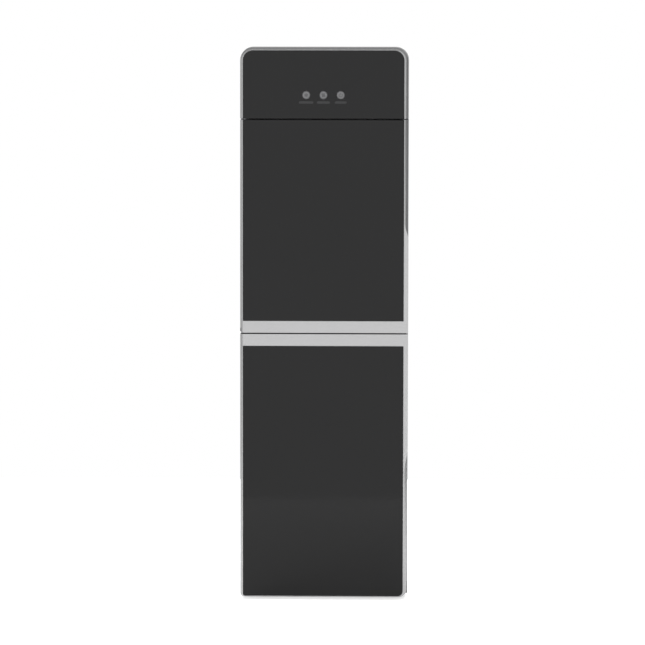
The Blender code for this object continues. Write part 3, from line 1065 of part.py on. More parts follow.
# ================================================================ cooling
def cooling():
    width, depth = (COMPRESSOR_RADIUS + margin for margin in CRADLE_MARGIN)
    floor, low = PAN_FLOOR, CRADLE_BOTTOM
    cradle = box((-width, COMPRESSOR_Y - depth, low), (width, COMPRESSOR_Y + depth * 0.98, low + CRADLE_SHEET))
    register(cradle, "compressor_cradle", ZINC)
    x = width - 0.014
    rails = [box((sign * x - 0.010, COMPRESSOR_Y - depth + 0.006, floor + GAP),
                 (sign * x + 0.010, COMPRESSOR_Y + depth - 0.010, floor + GAP + GROMMET_HEIGHT))
             for sign in SIDES.values()]
    web = box((-x, COMPRESSOR_Y - 0.010, floor + GAP), (x, COMPRESSOR_Y + 0.010, floor + GAP + 0.003))
    register(boolean(web, rails, "UNION"), "compressor_mount", RUBBER)
    bottom, top = COMPRESSOR_BOTTOM, COMPRESSOR_TOP
    radius = COMPRESSOR_RADIUS
    seam = bottom + COMPRESSOR_HEIGHT * 0.56
    profile = [(0, top)]
    profile += [(radius * 0.97 * math.sin(math.radians(a)), top - 0.034 + 0.034 * math.cos(math.radians(a)))
                for a in (20, 40, 60, 75, 90)]
    profile += [
        (radius * 0.97, seam + 0.003), (radius, seam + 0.001), (radius, seam - 0.003),
        (radius * 0.965, seam - 0.005), (radius * 0.965, bottom + 0.018), (radius * 0.90, bottom + 0.006),
        (radius * 0.78, bottom), (0, bottom),
    ]
    shell = turned(profile, (0, COMPRESSOR_Y, 0), steps=20)
    port_y = COMPRESSOR_Y + 0.030
    ports = [
        cylinder((x, port_y, top - 0.040), (x, port_y, top + 0.006), 0.0042, sides=12) for x in (-0.030, 0.030)
    ]
    register(boolean(shell, ports, "UNION"), "compressor", BLACK_STEEL)
    relay = box((radius + 0.0006, COMPRESSOR_Y - 0.022, bottom + 0.045),
                (radius + 0.026, COMPRESSOR_Y + 0.022, bottom + 0.095))
    register(relay, "compressor_relay", DARK_PLASTIC)

    # the finned coil on the back, its runs joined by bends and held by upright wires
    y = CONDENSER_Y
    half = CONDENSER_HALF_WIDTH
    bend = CONDENSER_PITCH / 2
    points = [Vector((-half - 0.010, y, CONDENSER_BOTTOM - 0.030))]
    points.append(Vector((-half - 0.010, y, CONDENSER_BOTTOM - 0.012)))
    for i in range(CONDENSER_RUNS):
        z = CONDENSER_BOTTOM + CONDENSER_PITCH * i
        sign = 1 if i % 2 == 0 else -1
        start = Vector((-sign * (half - bend * 0.5), y, z))
        end = Vector((sign * (half - bend * 0.5), y, z))
        points += [start, end]
        if i < CONDENSER_RUNS - 1:
            for a in (-54, -18, 18, 54):
                points.append(Vector((sign * (half - bend * 0.5 + bend * math.cos(math.radians(a))), y,
                                      z + bend + bend * math.sin(math.radians(a)))))
    coil = applied(tube(points, CONDENSER_TUBE, 0))
    top = CONDENSER_BOTTOM + CONDENSER_PITCH * (CONDENSER_RUNS - 1) + 0.012
    wires = []
    reach = CONDENSER_TUBE + CONDENSER_WIRE * 0.3
    for i in range(CONDENSER_WIRES):
        x = (half - 0.022) * (2 * i / (CONDENSER_WIRES - 1) - 1)
        wires.append(box((x - CONDENSER_WIRE / 2, y + reach - CONDENSER_WIRE, CONDENSER_BOTTOM - 0.012),
                         (x + CONDENSER_WIRE / 2, y + reach, top)))
    register(boolean(coil, wires, "UNION"), "condenser_coil", BLACK_STEEL, 30)
    port_top = COMPRESSOR_TOP + 0.006 + GAP
    back = CABINET_BACK_Y - SHEET
    routes = {
        "discharge_line": [
            (-0.030, port_y, port_top), (-0.030, port_y, port_top + 0.004), (-0.030, port_y, port_top + 0.009),
            (-0.060, back - 0.012, port_top + 0.022), (-half - 0.004, back + 0.004, port_top + 0.030),
            (-half - 0.010, CONDENSER_Y, CONDENSER_BOTTOM - 0.075),
            (-half - 0.010, CONDENSER_Y, CONDENSER_BOTTOM - 0.030 - GAP),
        ],
        "suction_line": [
            (0.030, port_y, port_top), (0.030, port_y, port_top + 0.004), (0.030, port_y, port_top + 0.009),
            (0.034, back - 0.020, port_top + 0.040), (0.036, back - 0.018, BRACKET_Z - 0.110),
            (0.036, back - 0.018, BRACKET_Z + 0.050),
            (0.064, back - 0.012, HOT_TOP + 0.010), (0.066, back - 0.008, COLD_BOTTOM + 0.043),
            (0.040, back - 0.0045, COIL_EXIT_TOP - 0.034), (0.008, back - 0.0045, COIL_EXIT_TOP - 0.016),
            (0.0, back - 0.0045, COIL_EXIT_TOP - COIL_TUBE - LINE_RADIUS),
        ],
    }
    return routes


def refrigerant_lines(routes):
    for name, places in routes.items():
        points = smooth_route([Vector(place) for place in places], 0.025)
        register(applied(tube(points, LINE_RADIUS, 1)), name, COPPER, 50)


# ================================================================ rear fittings
def rear():
    back = CABINET_BACK_Y
    x, z = SWITCH_HALF_SIZE
    lip = 0.0035
    bezel = box((SWITCH_X - x - lip, back + GAP, SWITCH_Z - z - lip),
                (SWITCH_X + x + lip, back + 0.0032, SWITCH_Z + z + lip))
    body = box((SWITCH_X - x, back - 0.018, SWITCH_Z - z), (SWITCH_X + x, back + 0.001, SWITCH_Z + z))
    width, depth, height = ROCKER_SIZE
    centres = {"hot": SWITCH_X - SWITCH_PITCH / 2, "cold": SWITCH_X + SWITCH_PITCH / 2}
    windows = [box((x - width / 2 - 0.0006, back - 0.012, SWITCH_Z - height / 2 - 0.0014),
                   (x + width / 2 + 0.0006, back + 0.01, SWITCH_Z + height / 2 + 0.0014)) for x in centres.values()]
    boolean(bezel, [body], "UNION")
    register(boolean(bezel, windows), "switch_housing", DARK_PLASTIC)
    for name, x in centres.items():
        outline = [
            (-0.0030, -height / 2), (0.0046, -height / 2), (0.0034, 0), (0.0046, height / 2),
            (-0.0030, height / 2), (-0.0050, 0),
        ]
        rocker = extruded(outline, -width / 2, width / 2, "YZ")
        place = Vector((x, back - 0.0005, SWITCH_Z))
        rocker.data.transform(Matrix.Rotation(math.radians(ROCKER_TILT), 4, "Z"))
        finish = RED if name == "hot" else GREEN
        register(rocker, f"{name}_switch_rocker", finish)
        rocker.location = place
    profile = [
        (0.0045, back + 0.005), (0.011, back + 0.005), (0.011, back + GAP), (0.0073, back + GAP),
        (0.0073, back - 0.010), (0.0045, back - 0.010),
    ]
    gland = turned([(r, y - back) for r, y in profile], (GLAND_X, back, GLAND_Z), (0, 1, 0), 20)
    register(gland, "cord_gland", RUBBER)
    profile = [
        (HOSE_RADIUS + 0.0004, 0.014), (0.0072, 0.014), (0.0072, 0.0034), (0.012, 0.0034), (0.012, GAP),
        (0.0072, GAP), (0.0072, -0.006), (HOSE_RADIUS + 0.0004, -0.006),
    ]
    register(turned(profile, (0, back, DRAIN_Z), (0, 1, 0), 20), "drain_fitting", DARK_PLASTIC)
    profile = [
        (0, 0.0185), (0.010, 0.0185), (0.011, 0.0175), (0.011, 0.0045), (0.0076, 0.0045), (0.0076, 0.0150),
        (0, 0.0150),
    ]
    register(turned(profile, (0, back, DRAIN_Z), (0, 1, 0), 20), "drain_cap", DARK_PLASTIC)


clear_scene()
upper_door()
lower_door()
head()
hinges()
cabinet()
liners()
tap("hot", -TAP_X, RED)
tap("cold", TAP_X, BLUE)
drip_tray()
tanks()
hoses()
refrigerant_lines(cooling())
rear()
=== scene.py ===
import json
import math

import bmesh
import bpy
from mathutils import Matrix, Vector


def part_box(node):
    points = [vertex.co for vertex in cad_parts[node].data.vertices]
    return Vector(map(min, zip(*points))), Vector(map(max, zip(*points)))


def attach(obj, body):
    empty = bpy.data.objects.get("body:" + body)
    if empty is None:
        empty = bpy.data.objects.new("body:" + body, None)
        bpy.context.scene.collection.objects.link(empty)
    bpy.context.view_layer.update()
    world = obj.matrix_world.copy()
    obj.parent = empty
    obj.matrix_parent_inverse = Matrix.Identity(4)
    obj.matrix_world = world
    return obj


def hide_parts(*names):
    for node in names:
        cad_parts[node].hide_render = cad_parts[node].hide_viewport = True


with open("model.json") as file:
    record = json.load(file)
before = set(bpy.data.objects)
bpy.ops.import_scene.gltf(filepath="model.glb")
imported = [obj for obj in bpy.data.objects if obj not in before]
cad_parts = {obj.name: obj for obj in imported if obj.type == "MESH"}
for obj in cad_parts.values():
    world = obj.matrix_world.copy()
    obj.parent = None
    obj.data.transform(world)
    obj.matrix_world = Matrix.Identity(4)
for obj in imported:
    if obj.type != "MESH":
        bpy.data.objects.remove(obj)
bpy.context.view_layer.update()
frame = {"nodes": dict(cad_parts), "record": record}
NODES = frame["nodes"]
MM = 0.001


# ---------------------------------------------------------------- materials
def principled(name, **values):
    """A new material and its Principled shader, with constant values on the shader's own sockets."""
    material = bpy.data.materials.new(name)
    material.use_nodes = True
    shader = material.node_tree.nodes["Principled BSDF"]
    for key, value in values.items():
        shader.inputs[key.replace("_", " ")].default_value = value
    return material, shader


def noise_of(tree, scale, detail=3.0, roughness=0.55, stretch=None):
    """A noise texture in the object's own metres; stretch lengthens it along an axis."""
    coordinates = tree.nodes.new("ShaderNodeTexCoord")
    noise = tree.nodes.new("ShaderNodeTexNoise")
    noise.inputs["Scale"].default_value = scale
    noise.inputs["Detail"].default_value = detail
    noise.inputs["Roughness"].default_value = roughness
    noise.inputs["Distortion"].default_value = 0.0
    source = coordinates.outputs["Object"]
    if stretch:
        mapping = tree.nodes.new("ShaderNodeMapping")
        mapping.inputs["Scale"].default_value = stretch
        tree.links.new(source, mapping.inputs["Vector"])
        source = mapping.outputs["Vector"]
    tree.links.new(source, noise.inputs["Vector"])
    return noise.outputs["Fac"]


def ramp_of(tree, factor, stops):
    """A colour ramp over a factor; stops are (position, colour)."""
    ramp = tree.nodes.new("ShaderNodeValToRGB")
    elements = ramp.color_ramp.elements
    while len(elements) < len(stops):
        elements.new(0.5)
    for element, (position, colour) in zip(elements, stops):
        element.position = position
        element.color = (*colour, 1.0)
    tree.links.new(factor, ramp.inputs["Fac"])
    return ramp.outputs["Color"]


def spread(tree, factor, low, high, from_low=0.3, from_high=0.7):
    """The factor's middle range, mapped to low..high."""
    mapped = tree.nodes.new("ShaderNodeMapRange")
    mapped.inputs["From Min"].default_value = from_low
    mapped.inputs["From Max"].default_value = from_high
    mapped.inputs["To Min"].default_value = low
    mapped.inputs["To Max"].default_value = high
    tree.links.new(factor, mapped.inputs["Value"])
    return mapped.outputs["Result"]


def finish_of(name, colour, roughness, tint=0.06, tint_scale=9.0, rough_spread=0.05, rough_scale=30.0,
              grain=None, wave=None, stretch=None, **values):
    """A surface with soft colour drift, uneven gloss and, where given, grain or slow waves in its relief."""
    material, shader = principled(name, **values)
    tree = material.node_tree
    darker = tuple(c * (1 - tint) for c in colour)
    lighter = tuple(min(1.0, c * (1 + tint)) for c in colour)
    drift = noise_of(tree, tint_scale, 4.0, 0.6, stretch)
    tree.links.new(ramp_of(tree, drift, [(0.30, darker), (0.70, lighter)]), shader.inputs["Base Color"])
    uneven = noise_of(tree, rough_scale, 5.0, 0.6, stretch)
    low = max(0.01, roughness - rough_spread)
    tree.links.new(spread(tree, uneven, low, roughness + rough_spread), shader.inputs["Roughness"])
    normal = None
    for relief in (wave, grain):
        if not relief:
            continue
        scale, strength, distance = relief
        bump = tree.nodes.new("ShaderNodeBump")
        bump.inputs["Strength"].default_value = strength
        bump.inputs["Distance"].default_value = distance
        tree.links.new(noise_of(tree, scale, 3.0, 0.5, stretch), bump.inputs["Height"])
        if normal:
            tree.links.new(normal, bump.inputs["Normal"])
        normal = bump.outputs["Normal"]
    if normal:
        tree.links.new(normal, shader.inputs["Normal"])
    return material


SILVER = finish_of("silver_paint", (0.552, 0.552, 0.555), 0.23, tint=0.012, tint_scale=6.0, rough_spread=0.03,
                   rough_scale=120.0, grain=(2600.0, 0.05, 0.0002), Metallic=0.92)
GLASS = finish_of("black_glass", (0.0035, 0.0035, 0.0037), 0.055, tint=0.10, tint_scale=4.0,
                  rough_spread=0.020, rough_scale=7.0, wave=(2.2, 0.02, 0.004), IOR=1.50, Specular_IOR_Level=0.375)
SHEET = finish_of("side_sheet", (0.345, 0.350, 0.360), 0.42, tint=0.03, tint_scale=5.0, rough_spread=0.04,
                  wave=(14.0, 0.03, 0.002), grain=(1500.0, 0.22, 0.0002), Metallic=0.35)
BACK_SHEET = finish_of("back_sheet", (0.40, 0.41, 0.42), 0.40, tint=0.05, tint_scale=18.0, rough_spread=0.08,
                       rough_scale=45.0, grain=(700.0, 0.10, 0.0002), Metallic=0.75)
DARK = finish_of("dark_moulding", (0.032, 0.032, 0.034), 0.48, tint=0.12, rough_spread=0.06,
                 grain=(2200.0, 0.35, 0.00025))
LINER = finish_of("white_liner", (0.620, 0.625, 0.615), 0.32, tint=0.02, rough_spread=0.05, rough_scale=22.0,
                  wave=(16.0, 0.05, 0.002), grain=(900.0, 0.05, 0.0002), Subsurface_Weight=0.04)
GREY = finish_of("grey_moulding", (0.235, 0.242, 0.250), 0.42, tint=0.05, rough_spread=0.05,
                 grain=(1700.0, 0.28, 0.0002))
ZINC = finish_of("zinc_plate", (0.560, 0.570, 0.585), 0.34, tint=0.14, tint_scale=60.0, rough_spread=0.10,
                 rough_scale=90.0, grain=(420.0, 0.10, 0.0002), Metallic=0.95)
STAINLESS = finish_of("brushed_stainless", (0.620, 0.615, 0.605), 0.27, tint=0.05, tint_scale=240.0,
                      rough_spread=0.09, rough_scale=520.0, grain=(700.0, 0.18, 0.0001),
                      stretch=(0.03, 1.0, 1.0), Metallic=1.0, Anisotropic=0.55)
COPPER = finish_of("copper", (0.690, 0.315, 0.180), 0.28, tint=0.22, tint_scale=70.0, rough_spread=0.12,
                   rough_scale=110.0, grain=(260.0, 0.06, 0.0002), Metallic=1.0)
RUBBER = finish_of("black_rubber_soft", (0.018, 0.018, 0.019), 0.74, tint=0.18, rough_spread=0.09,
                   grain=(1300.0, 0.35, 0.0003))
SILICONE = finish_of("milky_silicone", (0.760, 0.775, 0.780), 0.36, tint=0.03, rough_spread=0.06,
                     grain=(500.0, 0.05, 0.0002), Subsurface_Weight=0.25, Transmission_Weight=0.15)
RED = finish_of("red_moulding", (0.520, 0.012, 0.010), 0.26, tint=0.07, rough_spread=0.05,
                grain=(1500.0, 0.08, 0.0002), Coat_Weight=0.15, Coat_Roughness=0.2)
BLUE = finish_of("blue_moulding", (0.012, 0.085, 0.430), 0.26, tint=0.07, rough_spread=0.05,
                 grain=(1500.0, 0.08, 0.0002), Coat_Weight=0.15, Coat_Roughness=0.2)
GREEN = finish_of("green_moulding", (0.012, 0.240, 0.055), 0.28, tint=0.07, rough_spread=0.05,
                  grain=(1500.0, 0.08, 0.0002), Coat_Weight=0.15, Coat_Roughness=0.2)
ENAMEL = finish_of("black_enamel", (0.014, 0.014, 0.015), 0.32, tint=0.20, tint_scale=40.0, rough_spread=0.10,
                   rough_scale=60.0, wave=(55.0, 0.16, 0.0015), grain=(900.0, 0.10, 0.0002), Coat_Weight=0.25,
                   Coat_Roughness=0.25)
PROBE = finish_of("pale_blue_moulding", (0.430, 0.520, 0.590), 0.30, tint=0.02, rough_spread=0.04,
                  wave=(24.0, 0.04, 0.001))
BOARD = finish_of("solder_mask", (0.012, 0.120, 0.042), 0.34, tint=0.20, tint_scale=300.0, rough_spread=0.08,
                  grain=(900.0, 0.12, 0.0002))
LAMP = finish_of("lamp_print", (0.150, 0.150, 0.153), 0.30, tint=0.02, tint_scale=60.0, rough_spread=0.03)
LAMP_MARK = finish_of("lamp_symbol", (0.030, 0.030, 0.031), 0.34, tint=0.04, tint_scale=60.0,
                      rough_spread=0.03)
LABEL = finish_of("label_print", (0.024, 0.024, 0.025), 0.34, tint=0.04, tint_scale=60.0, rough_spread=0.03)


def foam():
    """Pressed foam beads: cells with dark joints between them."""
    material, shader = principled("foam_beads", Subsurface_Weight=0.1)
    tree = material.node_tree
    coordinates = tree.nodes.new("ShaderNodeTexCoord")
    cells = tree.nodes.new("ShaderNodeTexVoronoi")
    cells.feature = "DISTANCE_TO_EDGE"
    cells.inputs["Scale"].default_value = 260.0
    tree.links.new(coordinates.outputs["Object"], cells.inputs["Vector"])
    edge = cells.outputs["Distance"]
    colours = ramp_of(tree, edge, [(0.0, (0.66, 0.66, 0.64)), (0.10, (0.83, 0.83, 0.81))])
    tree.links.new(colours, shader.inputs["Base Color"])
    tree.links.new(spread(tree, edge, 0.78, 0.92, 0.0, 0.3), shader.inputs["Roughness"])
    bump = tree.nodes.new("ShaderNodeBump")
    bump.inputs["Strength"].default_value = 0.5
    bump.inputs["Distance"].default_value = 0.0006
    tree.links.new(spread(tree, edge, 0.0, 1.0, 0.0, 0.2), bump.inputs["Height"])
    tree.links.new(bump.outputs["Normal"], shader.inputs["Normal"])
    return material


FOAM = foam()
FINISH = {
    "silver_plastic": SILVER, "black_glass": GLASS, "silver_sheet": SHEET, "dark_plastic": DARK,
    "liner_plastic": LINER, "grey_plastic": GREY, "zinc_steel": ZINC, "stainless_steel": STAINLESS,
    "copper_tube": COPPER, "white_foam": FOAM, "black_rubber": RUBBER, "silicone_hose": SILICONE,
    "red_plastic": RED, "blue_plastic": BLUE, "green_plastic": GREEN, "black_steel": ENAMEL,
    "indicator_lens": LAMP, "circuit_board": BOARD, "probe_plastic": PROBE,
}
SLOT_OF = {entry["node"]: entry["material_slot"] for entry in frame["record"]["subparts"]}
for name, node in NODES.items():
    node.data.materials.clear()
    node.data.materials.append(FINISH[SLOT_OF[name]])
NODES["back_panel"].data.materials[0] = BACK_SHEET


# ---------------------------------------------------------------- mesh helpers
def link(obj):
    bpy.context.scene.collection.objects.link(obj)
    return obj


def from_bmesh(shape, name, smooth=30.0):
    """An object from a bmesh, smooth except over sharp edges."""
    bmesh.ops.recalc_face_normals(shape, faces=shape.faces)
    mesh = bpy.data.meshes.new(name)
    shape.to_mesh(mesh)
    shape.free()
    mesh.shade_smooth()
    mesh.set_sharp_from_angle(angle=math.radians(smooth))
    return link(bpy.data.objects.new(name, mesh))


def piece(obj, body, material, stands_for=()):
    obj.data.materials.clear()
    obj.data.materials.append(material)
    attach(obj, body)
    if stands_for:
        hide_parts(*stands_for)
    return obj


def softened(obj, width, segments=2, angle=35.0, merged=False):
    """Rounds the sharp edges of a piece or a CAD node without touching its own mesh.

    merged first joins the triangles of each flat face, whose edges can otherwise show as faint lines.
    """
    weld = obj.modifiers.new("weld", "WELD")
    weld.merge_threshold = 0.00002
    if merged:
        flat = obj.modifiers.new("flat", "DECIMATE")
        flat.decimate_type = "DISSOLVE"
        flat.angle_limit = math.radians(0.4)
    bevel = obj.modifiers.new("round", "BEVEL")
    bevel.width = width
    bevel.segments = segments
    bevel.limit_method = "ANGLE"
    bevel.angle_limit = math.radians(angle)
    bevel.harden_normals = True
    return obj


def turned(name, profile, place, axis="Z", steps=96, smooth=32.0):
    """A profile of (radius, height) turned round an axis through place."""
    shape = bmesh.new()
    points = [shape.verts.new((r, 0, z)) for r, z in profile]
    closed = profile[0][0] > 1e-6 or profile[-1][0] > 1e-6
    for a, b in zip(points, points[1:] + ([points[0]] if closed else [])):
        shape.edges.new((a, b))
    bmesh.ops.spin(shape, geom=shape.verts[:] + shape.edges[:], cent=(0, 0, 0), axis=(0, 0, 1),
                   angle=math.tau, steps=steps, use_merge=True)
    bmesh.ops.remove_doubles(shape, verts=shape.verts, dist=1e-6)
    turn = {"Z": Matrix.Identity(4), "Y": Matrix.Rotation(-math.pi / 2, 4, "X"),
            "-Y": Matrix.Rotation(math.pi / 2, 4, "X"), "X": Matrix.Rotation(math.pi / 2, 4, "Y")}[axis]
    bmesh.ops.transform(shape, matrix=Matrix.Translation(place) @ turn, verts=shape.verts)
    return from_bmesh(shape, name, smooth)


def tube(name, points, radius, sides=12):
    """A round tube through points, swept with a steady frame, its ends capped."""
    shape = bmesh.new()
    points = [Vector(p) for p in points]
    rings = []
    side = None
    for i, point in enumerate(points):
        ahead = points[min(i + 1, len(points) - 1)] - points[max(i - 1, 0)]
        ahead.normalize()
        if side is None:
            side = ahead.orthogonal().normalized()
        side = (side - ahead * side.dot(ahead)).normalized()
        other = ahead.cross(side)
        rings.append([shape.verts.new(point + (side * math.cos(a) + other * math.sin(a)) * radius)
                      for a in (math.tau * k / sides for k in range(sides))])
    for first, second in zip(rings, rings[1:]):
        for k in range(sides):
            shape.faces.new((first[k], first[(k + 1) % sides], second[(k + 1) % sides], second[k]))
    shape.faces.new(rings[0])
    shape.faces.new(rings[-1])
    return from_bmesh(shape, name, 50.0)


def in_mm(*profile):
    """A profile given in millimetres, in metres."""
    return [(r * MM, h * MM) for r, h in profile]


def add_box(shape, low, high):
    low, high = Vector(low), Vector(high)
    made = bmesh.ops.create_cube(shape, size=1.0)["verts"]
    size = high - low
    bmesh.ops.scale(shape, vec=size, verts=made)
    bmesh.ops.translate(shape, vec=(low + high) / 2, verts=made)
    return made


def add_disc_prism(shape, outline, y_front, y_back):
    """A flat outline of (x, z) points, made solid between two y values."""
    front = [shape.verts.new((x, y_front, z)) for x, z in outline]
    back = [shape.verts.new((x, y_back, z)) for x, z in outline]
    count = len(outline)
    shape.faces.new(front)
    shape.faces.new(list(reversed(back)))
    for k in range(count):
        shape.faces.new((front[k], back[k], back[(k + 1) % count], front[(k + 1) % count]))


def bar(a, b, width):
    """The outline of a round-ended bar from a to b."""
    a, b = Vector(a), Vector(b)
    angle = math.atan2(b.y - a.y, b.x - a.x)
    points = []
    for centre, start in ((b, angle - math.pi / 2), (a, angle + math.pi / 2)):
        for i in range(7):
            t = start + math.pi * i / 6
            points.append((centre.x + math.cos(t) * width / 2, centre.y + math.sin(t) * width / 2))
    return points


def screw_heads(name, places, axis, radius, body, material=ZINC):
    """Pan heads with a cross recess, all facing the same way."""
    shape = bmesh.new()
    for place in places:
        head = bmesh.new()
        profile = [(0.0, 0.55), (0.45, 0.52), (0.78, 0.38), (0.97, 0.16), (1.0, 0.0), (0.0, 0.0)]
        ring = [head.verts.new((r * radius, 0, z * radius)) for r, z in profile]
        for a, b in zip(ring, ring[1:]):
            head.edges.new((a, b))
        bmesh.ops.spin(head, geom=head.verts[:] + head.edges[:], cent=(0, 0, 0), axis=(0, 0, 1),
                       angle=math.tau, steps=20, use_merge=True)
        bmesh.ops.remove_doubles(head, verts=head.verts, dist=1e-7)
        turn = Vector((0, 0, 1)).rotation_difference(Vector(axis)).to_matrix().to_4x4()
        bmesh.ops.transform(head, matrix=Matrix.Translation(place) @ turn, verts=head.verts)
        mesh = bpy.data.meshes.new("head")
        head.to_mesh(mesh)
        head.free()
        shape.from_mesh(mesh)
        bpy.data.meshes.remove(mesh)
    obj = from_bmesh(shape, name, 40.0)
    cutter_shape = bmesh.new()
    normal = Vector(axis)
    flat = normal.orthogonal().normalized()
    other = normal.cross(flat)
    for place in places:
        for long_way, short_way in ((flat, other), (other, flat)):
            corners = []
            for depth in (0.28, 0.9):
                for u, v in ((-1, -1), (1, -1), (1, 1), (-1, 1)):
                    corners.append(cutter_shape.verts.new(Vector(place) + normal * radius * depth
                                                          + long_way * u * radius * 0.52
                                                          + short_way * v * radius * 0.12))
            for quad in ((0, 1, 2, 3), (7, 6, 5, 4), (0, 4, 5, 1), (1, 5, 6, 2), (2, 6, 7, 3), (3, 7, 4, 0)):
                cutter_shape.faces.new([corners[i] for i in quad])
    cut(obj, from_bmesh(cutter_shape, name + "_cut"))
    return piece(obj, body, material)


def cut(obj, *cutters):
    """Cuts solids out of a piece and applies it."""
    for cutter in cutters:
        modifier = obj.modifiers.new("cut", "BOOLEAN")
        modifier.solver = "EXACT"
        modifier.use_self = True
        modifier.object = cutter
    graph = bpy.context.evaluated_depsgraph_get()
    mesh = bpy.data.meshes.new_from_object(obj.evaluated_get(graph))
    obj.modifiers.clear()
    obj.data = mesh
    mesh.shade_smooth()
    mesh.set_sharp_from_angle(angle=math.radians(35))
    for cutter in cutters:
        bpy.data.objects.remove(cutter)
    return obj


# ---------------------------------------------------------------- CAD nodes that keep their shape
SOFT_EDGES = {
    "head_frame": 0.4, "upper_door_frame": 0.4, "lower_door_frame": 0.4, "top_cover": 0.6,
    "head_glass": 1.0, "upper_door_glass": 1.0, "lower_door_glass": 1.0,
    "upper_door_liner": 1.2, "lower_door_liner": 1.2, "dispensing_recess": 0.8, "storage_liner": 1.2,
    "storage_shelf": 0.8, "base_pan": 0.8, "drip_tray": 0.6, "hot_tap": 0.5, "cold_tap": 0.5,
    "hot_lever": 0.9, "cold_lever": 0.9, "child_lock_slider": 0.6, "hinge_bottom": 0.25, "hinge_middle": 0.25,
    "tank_bracket": 0.2, "compressor_cradle": 0.3, "compressor_mount": 0.8, "compressor_relay": 1.2,
    "switch_housing": 0.5, "hot_switch_rocker": 0.4, "cold_switch_rocker": 0.4, "upper_catch": 0.5,
    "lower_catch": 0.5, "indicator_board": 0.15, "side_panel_left": 0.25, "side_panel_right": 0.25,
    "back_panel": 0.2, "drain_cap": 0.4, "drain_fitting": 0.3, "cord_gland": 0.4,
    "foot_front_left": 0.6, "foot_front_right": 0.6, "foot_rear_left": 0.6, "foot_rear_right": 0.6,
}
for name, width in SOFT_EDGES.items():
    softened(NODES[name], width * MM, merged=name == "dispensing_recess")


# ---------------------------------------------------------------- indicator lamps on the head
def middle(node):
    low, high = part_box(node)
    return [(low[i] + high[i]) / 2 for i in range(3)]


def lamp_symbol(kind, x, z):
    """Outlines of a lamp's symbol: a star for cooling, three waves for heating, a broken ring for power."""
    outlines = []
    if kind == "cooling":
        for k in range(6):
            a = math.radians(90 + 60 * k)
            tip = Vector((x + math.cos(a) * 3.3 * MM, z + math.sin(a) * 3.3 * MM))
            fork = Vector((x + math.cos(a) * 2.0 * MM, z + math.sin(a) * 2.0 * MM))
            outlines.append(bar((x, z), tip, 0.75 * MM))
            for turn in (-45, 45):
                b = a + math.radians(turn)
                outlines.append(bar(fork, fork + Vector((math.cos(b), math.sin(b))) * 1.3 * MM, 0.55 * MM))
    elif kind == "heating":
        for offset in (-2.3, 0.0, 2.3):
            points = []
            for i in range(13):
                t = i / 12
                sway = offset * 0.9 + 0.75 * math.sin(t * math.tau)
                points.append((x + sway * MM, z + (t - 0.5) * 6.6 * MM))
            left = [(px - 0.7 * MM, pz) for px, pz in points]
            right = [(px + 0.7 * MM, pz) for px, pz in reversed(points)]
            outlines.append(left + right)
    else:
        steps = 30
        ring = []
        for radius, order in ((3.7, range(steps + 1)), (2.6, range(steps, -1, -1))):
            for i in order:
                a = math.radians(125 + 290 * i / steps)
                ring.append((x + radius * MM * math.cos(a), z + radius * MM * math.sin(a)))
        outlines.append(ring)
        outlines.append(bar((x, z + 0.6 * MM), (x, z + 3.9 * MM), 1.1 * MM))
    return outlines


for kind, width in (("cooling", 27.0), ("heating", 24.0), ("power", 22.0)):
    node = f"indicator_{kind}"
    low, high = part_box(node)
    x, _, z = middle(node)
    outer = (high[0] - low[0]) / 2
    radius = outer - 0.85 * MM
    back = low[1] - high[1]
    profile = [(0.0, 0.0), (radius - 0.5 * MM, 0.0), (radius - 0.12 * MM, -0.10 * MM), (radius, -0.30 * MM),
               (radius, back), (0.0, back)]
    lens = turned(f"{node}_lens", profile, (x, low[1], z), "-Y", 64)
    piece(lens, "cabinet", LAMP, [node])
    profile = [(radius + 0.05 * MM, back), (radius + 0.05 * MM, -0.32 * MM), (radius + 0.16 * MM, -0.20 * MM),
               (outer - 0.10 * MM, -0.20 * MM), (outer, -0.30 * MM), (outer, back)]
    bezel = turned(f"{node}_bezel", profile, (x, low[1], z), "-Y", 64)
    piece(bezel, "cabinet", DARK)
    shape = bmesh.new()
    for i, outline in enumerate(lamp_symbol(kind, x, z)):
        add_disc_prism(shape, outline, low[1] - (0.04 - i * 0.001) * MM, low[1] + 0.4 * MM)
    piece(from_bmesh(shape, f"{node}_symbol"), "cabinet", LAMP_MARK)
    shape = bmesh.new()
    bar_z = z - 13.4 * MM
    half = (width / 2 - 2.2) * MM
    outline = bar((x - half, bar_z), (x + half, bar_z), 4.4 * MM)
    add_disc_prism(shape, outline, low[1] - 0.02 * MM, low[1] + 0.3 * MM)
    piece(from_bmesh(shape, f"{node}_label"), "cabinet", LABEL)


# ---------------------------------------------------------------- doors
def ring_frame(name, low, high, width, y_front, y_back, body, material):
    """A soft rectangular ring with a domed back, such as a door seal."""
    (x0, z0), (x1, z1) = low, high
    radius = 6 * MM
    shape = bmesh.new()
    loops = []
    for inset, y in ((0.0, y_front), (0.0, y_back - 0.9 * MM), (0.9 * MM, y_back), (width - 0.9 * MM, y_back),
                     (width, y_back - 0.9 * MM), (width, y_front)):
        r = max(radius - inset, 1.0 * MM)
        loop = []
        for cx, cz, turn in ((x0 + inset + r, z0 + inset + r, 180), (x1 - inset - r, z0 + inset + r, 270),
                             (x1 - inset - r, z1 - inset - r, 0), (x0 + inset + r, z1 - inset - r, 90)):
            for i in range(7):
                a = math.radians(turn + 15 * i)
                loop.append(shape.verts.new((cx + r * math.cos(a), y, cz + r * math.sin(a))))
        loops.append(loop)
    count = len(loops[0])
    for first, second in zip(loops, loops[1:] + loops[:1]):
        for k in range(count):
            shape.faces.new((first[k], first[(k + 1) % count], second[(k + 1) % count], second[k]))
    return piece(from_bmesh(shape, name, 40.0), body, material)


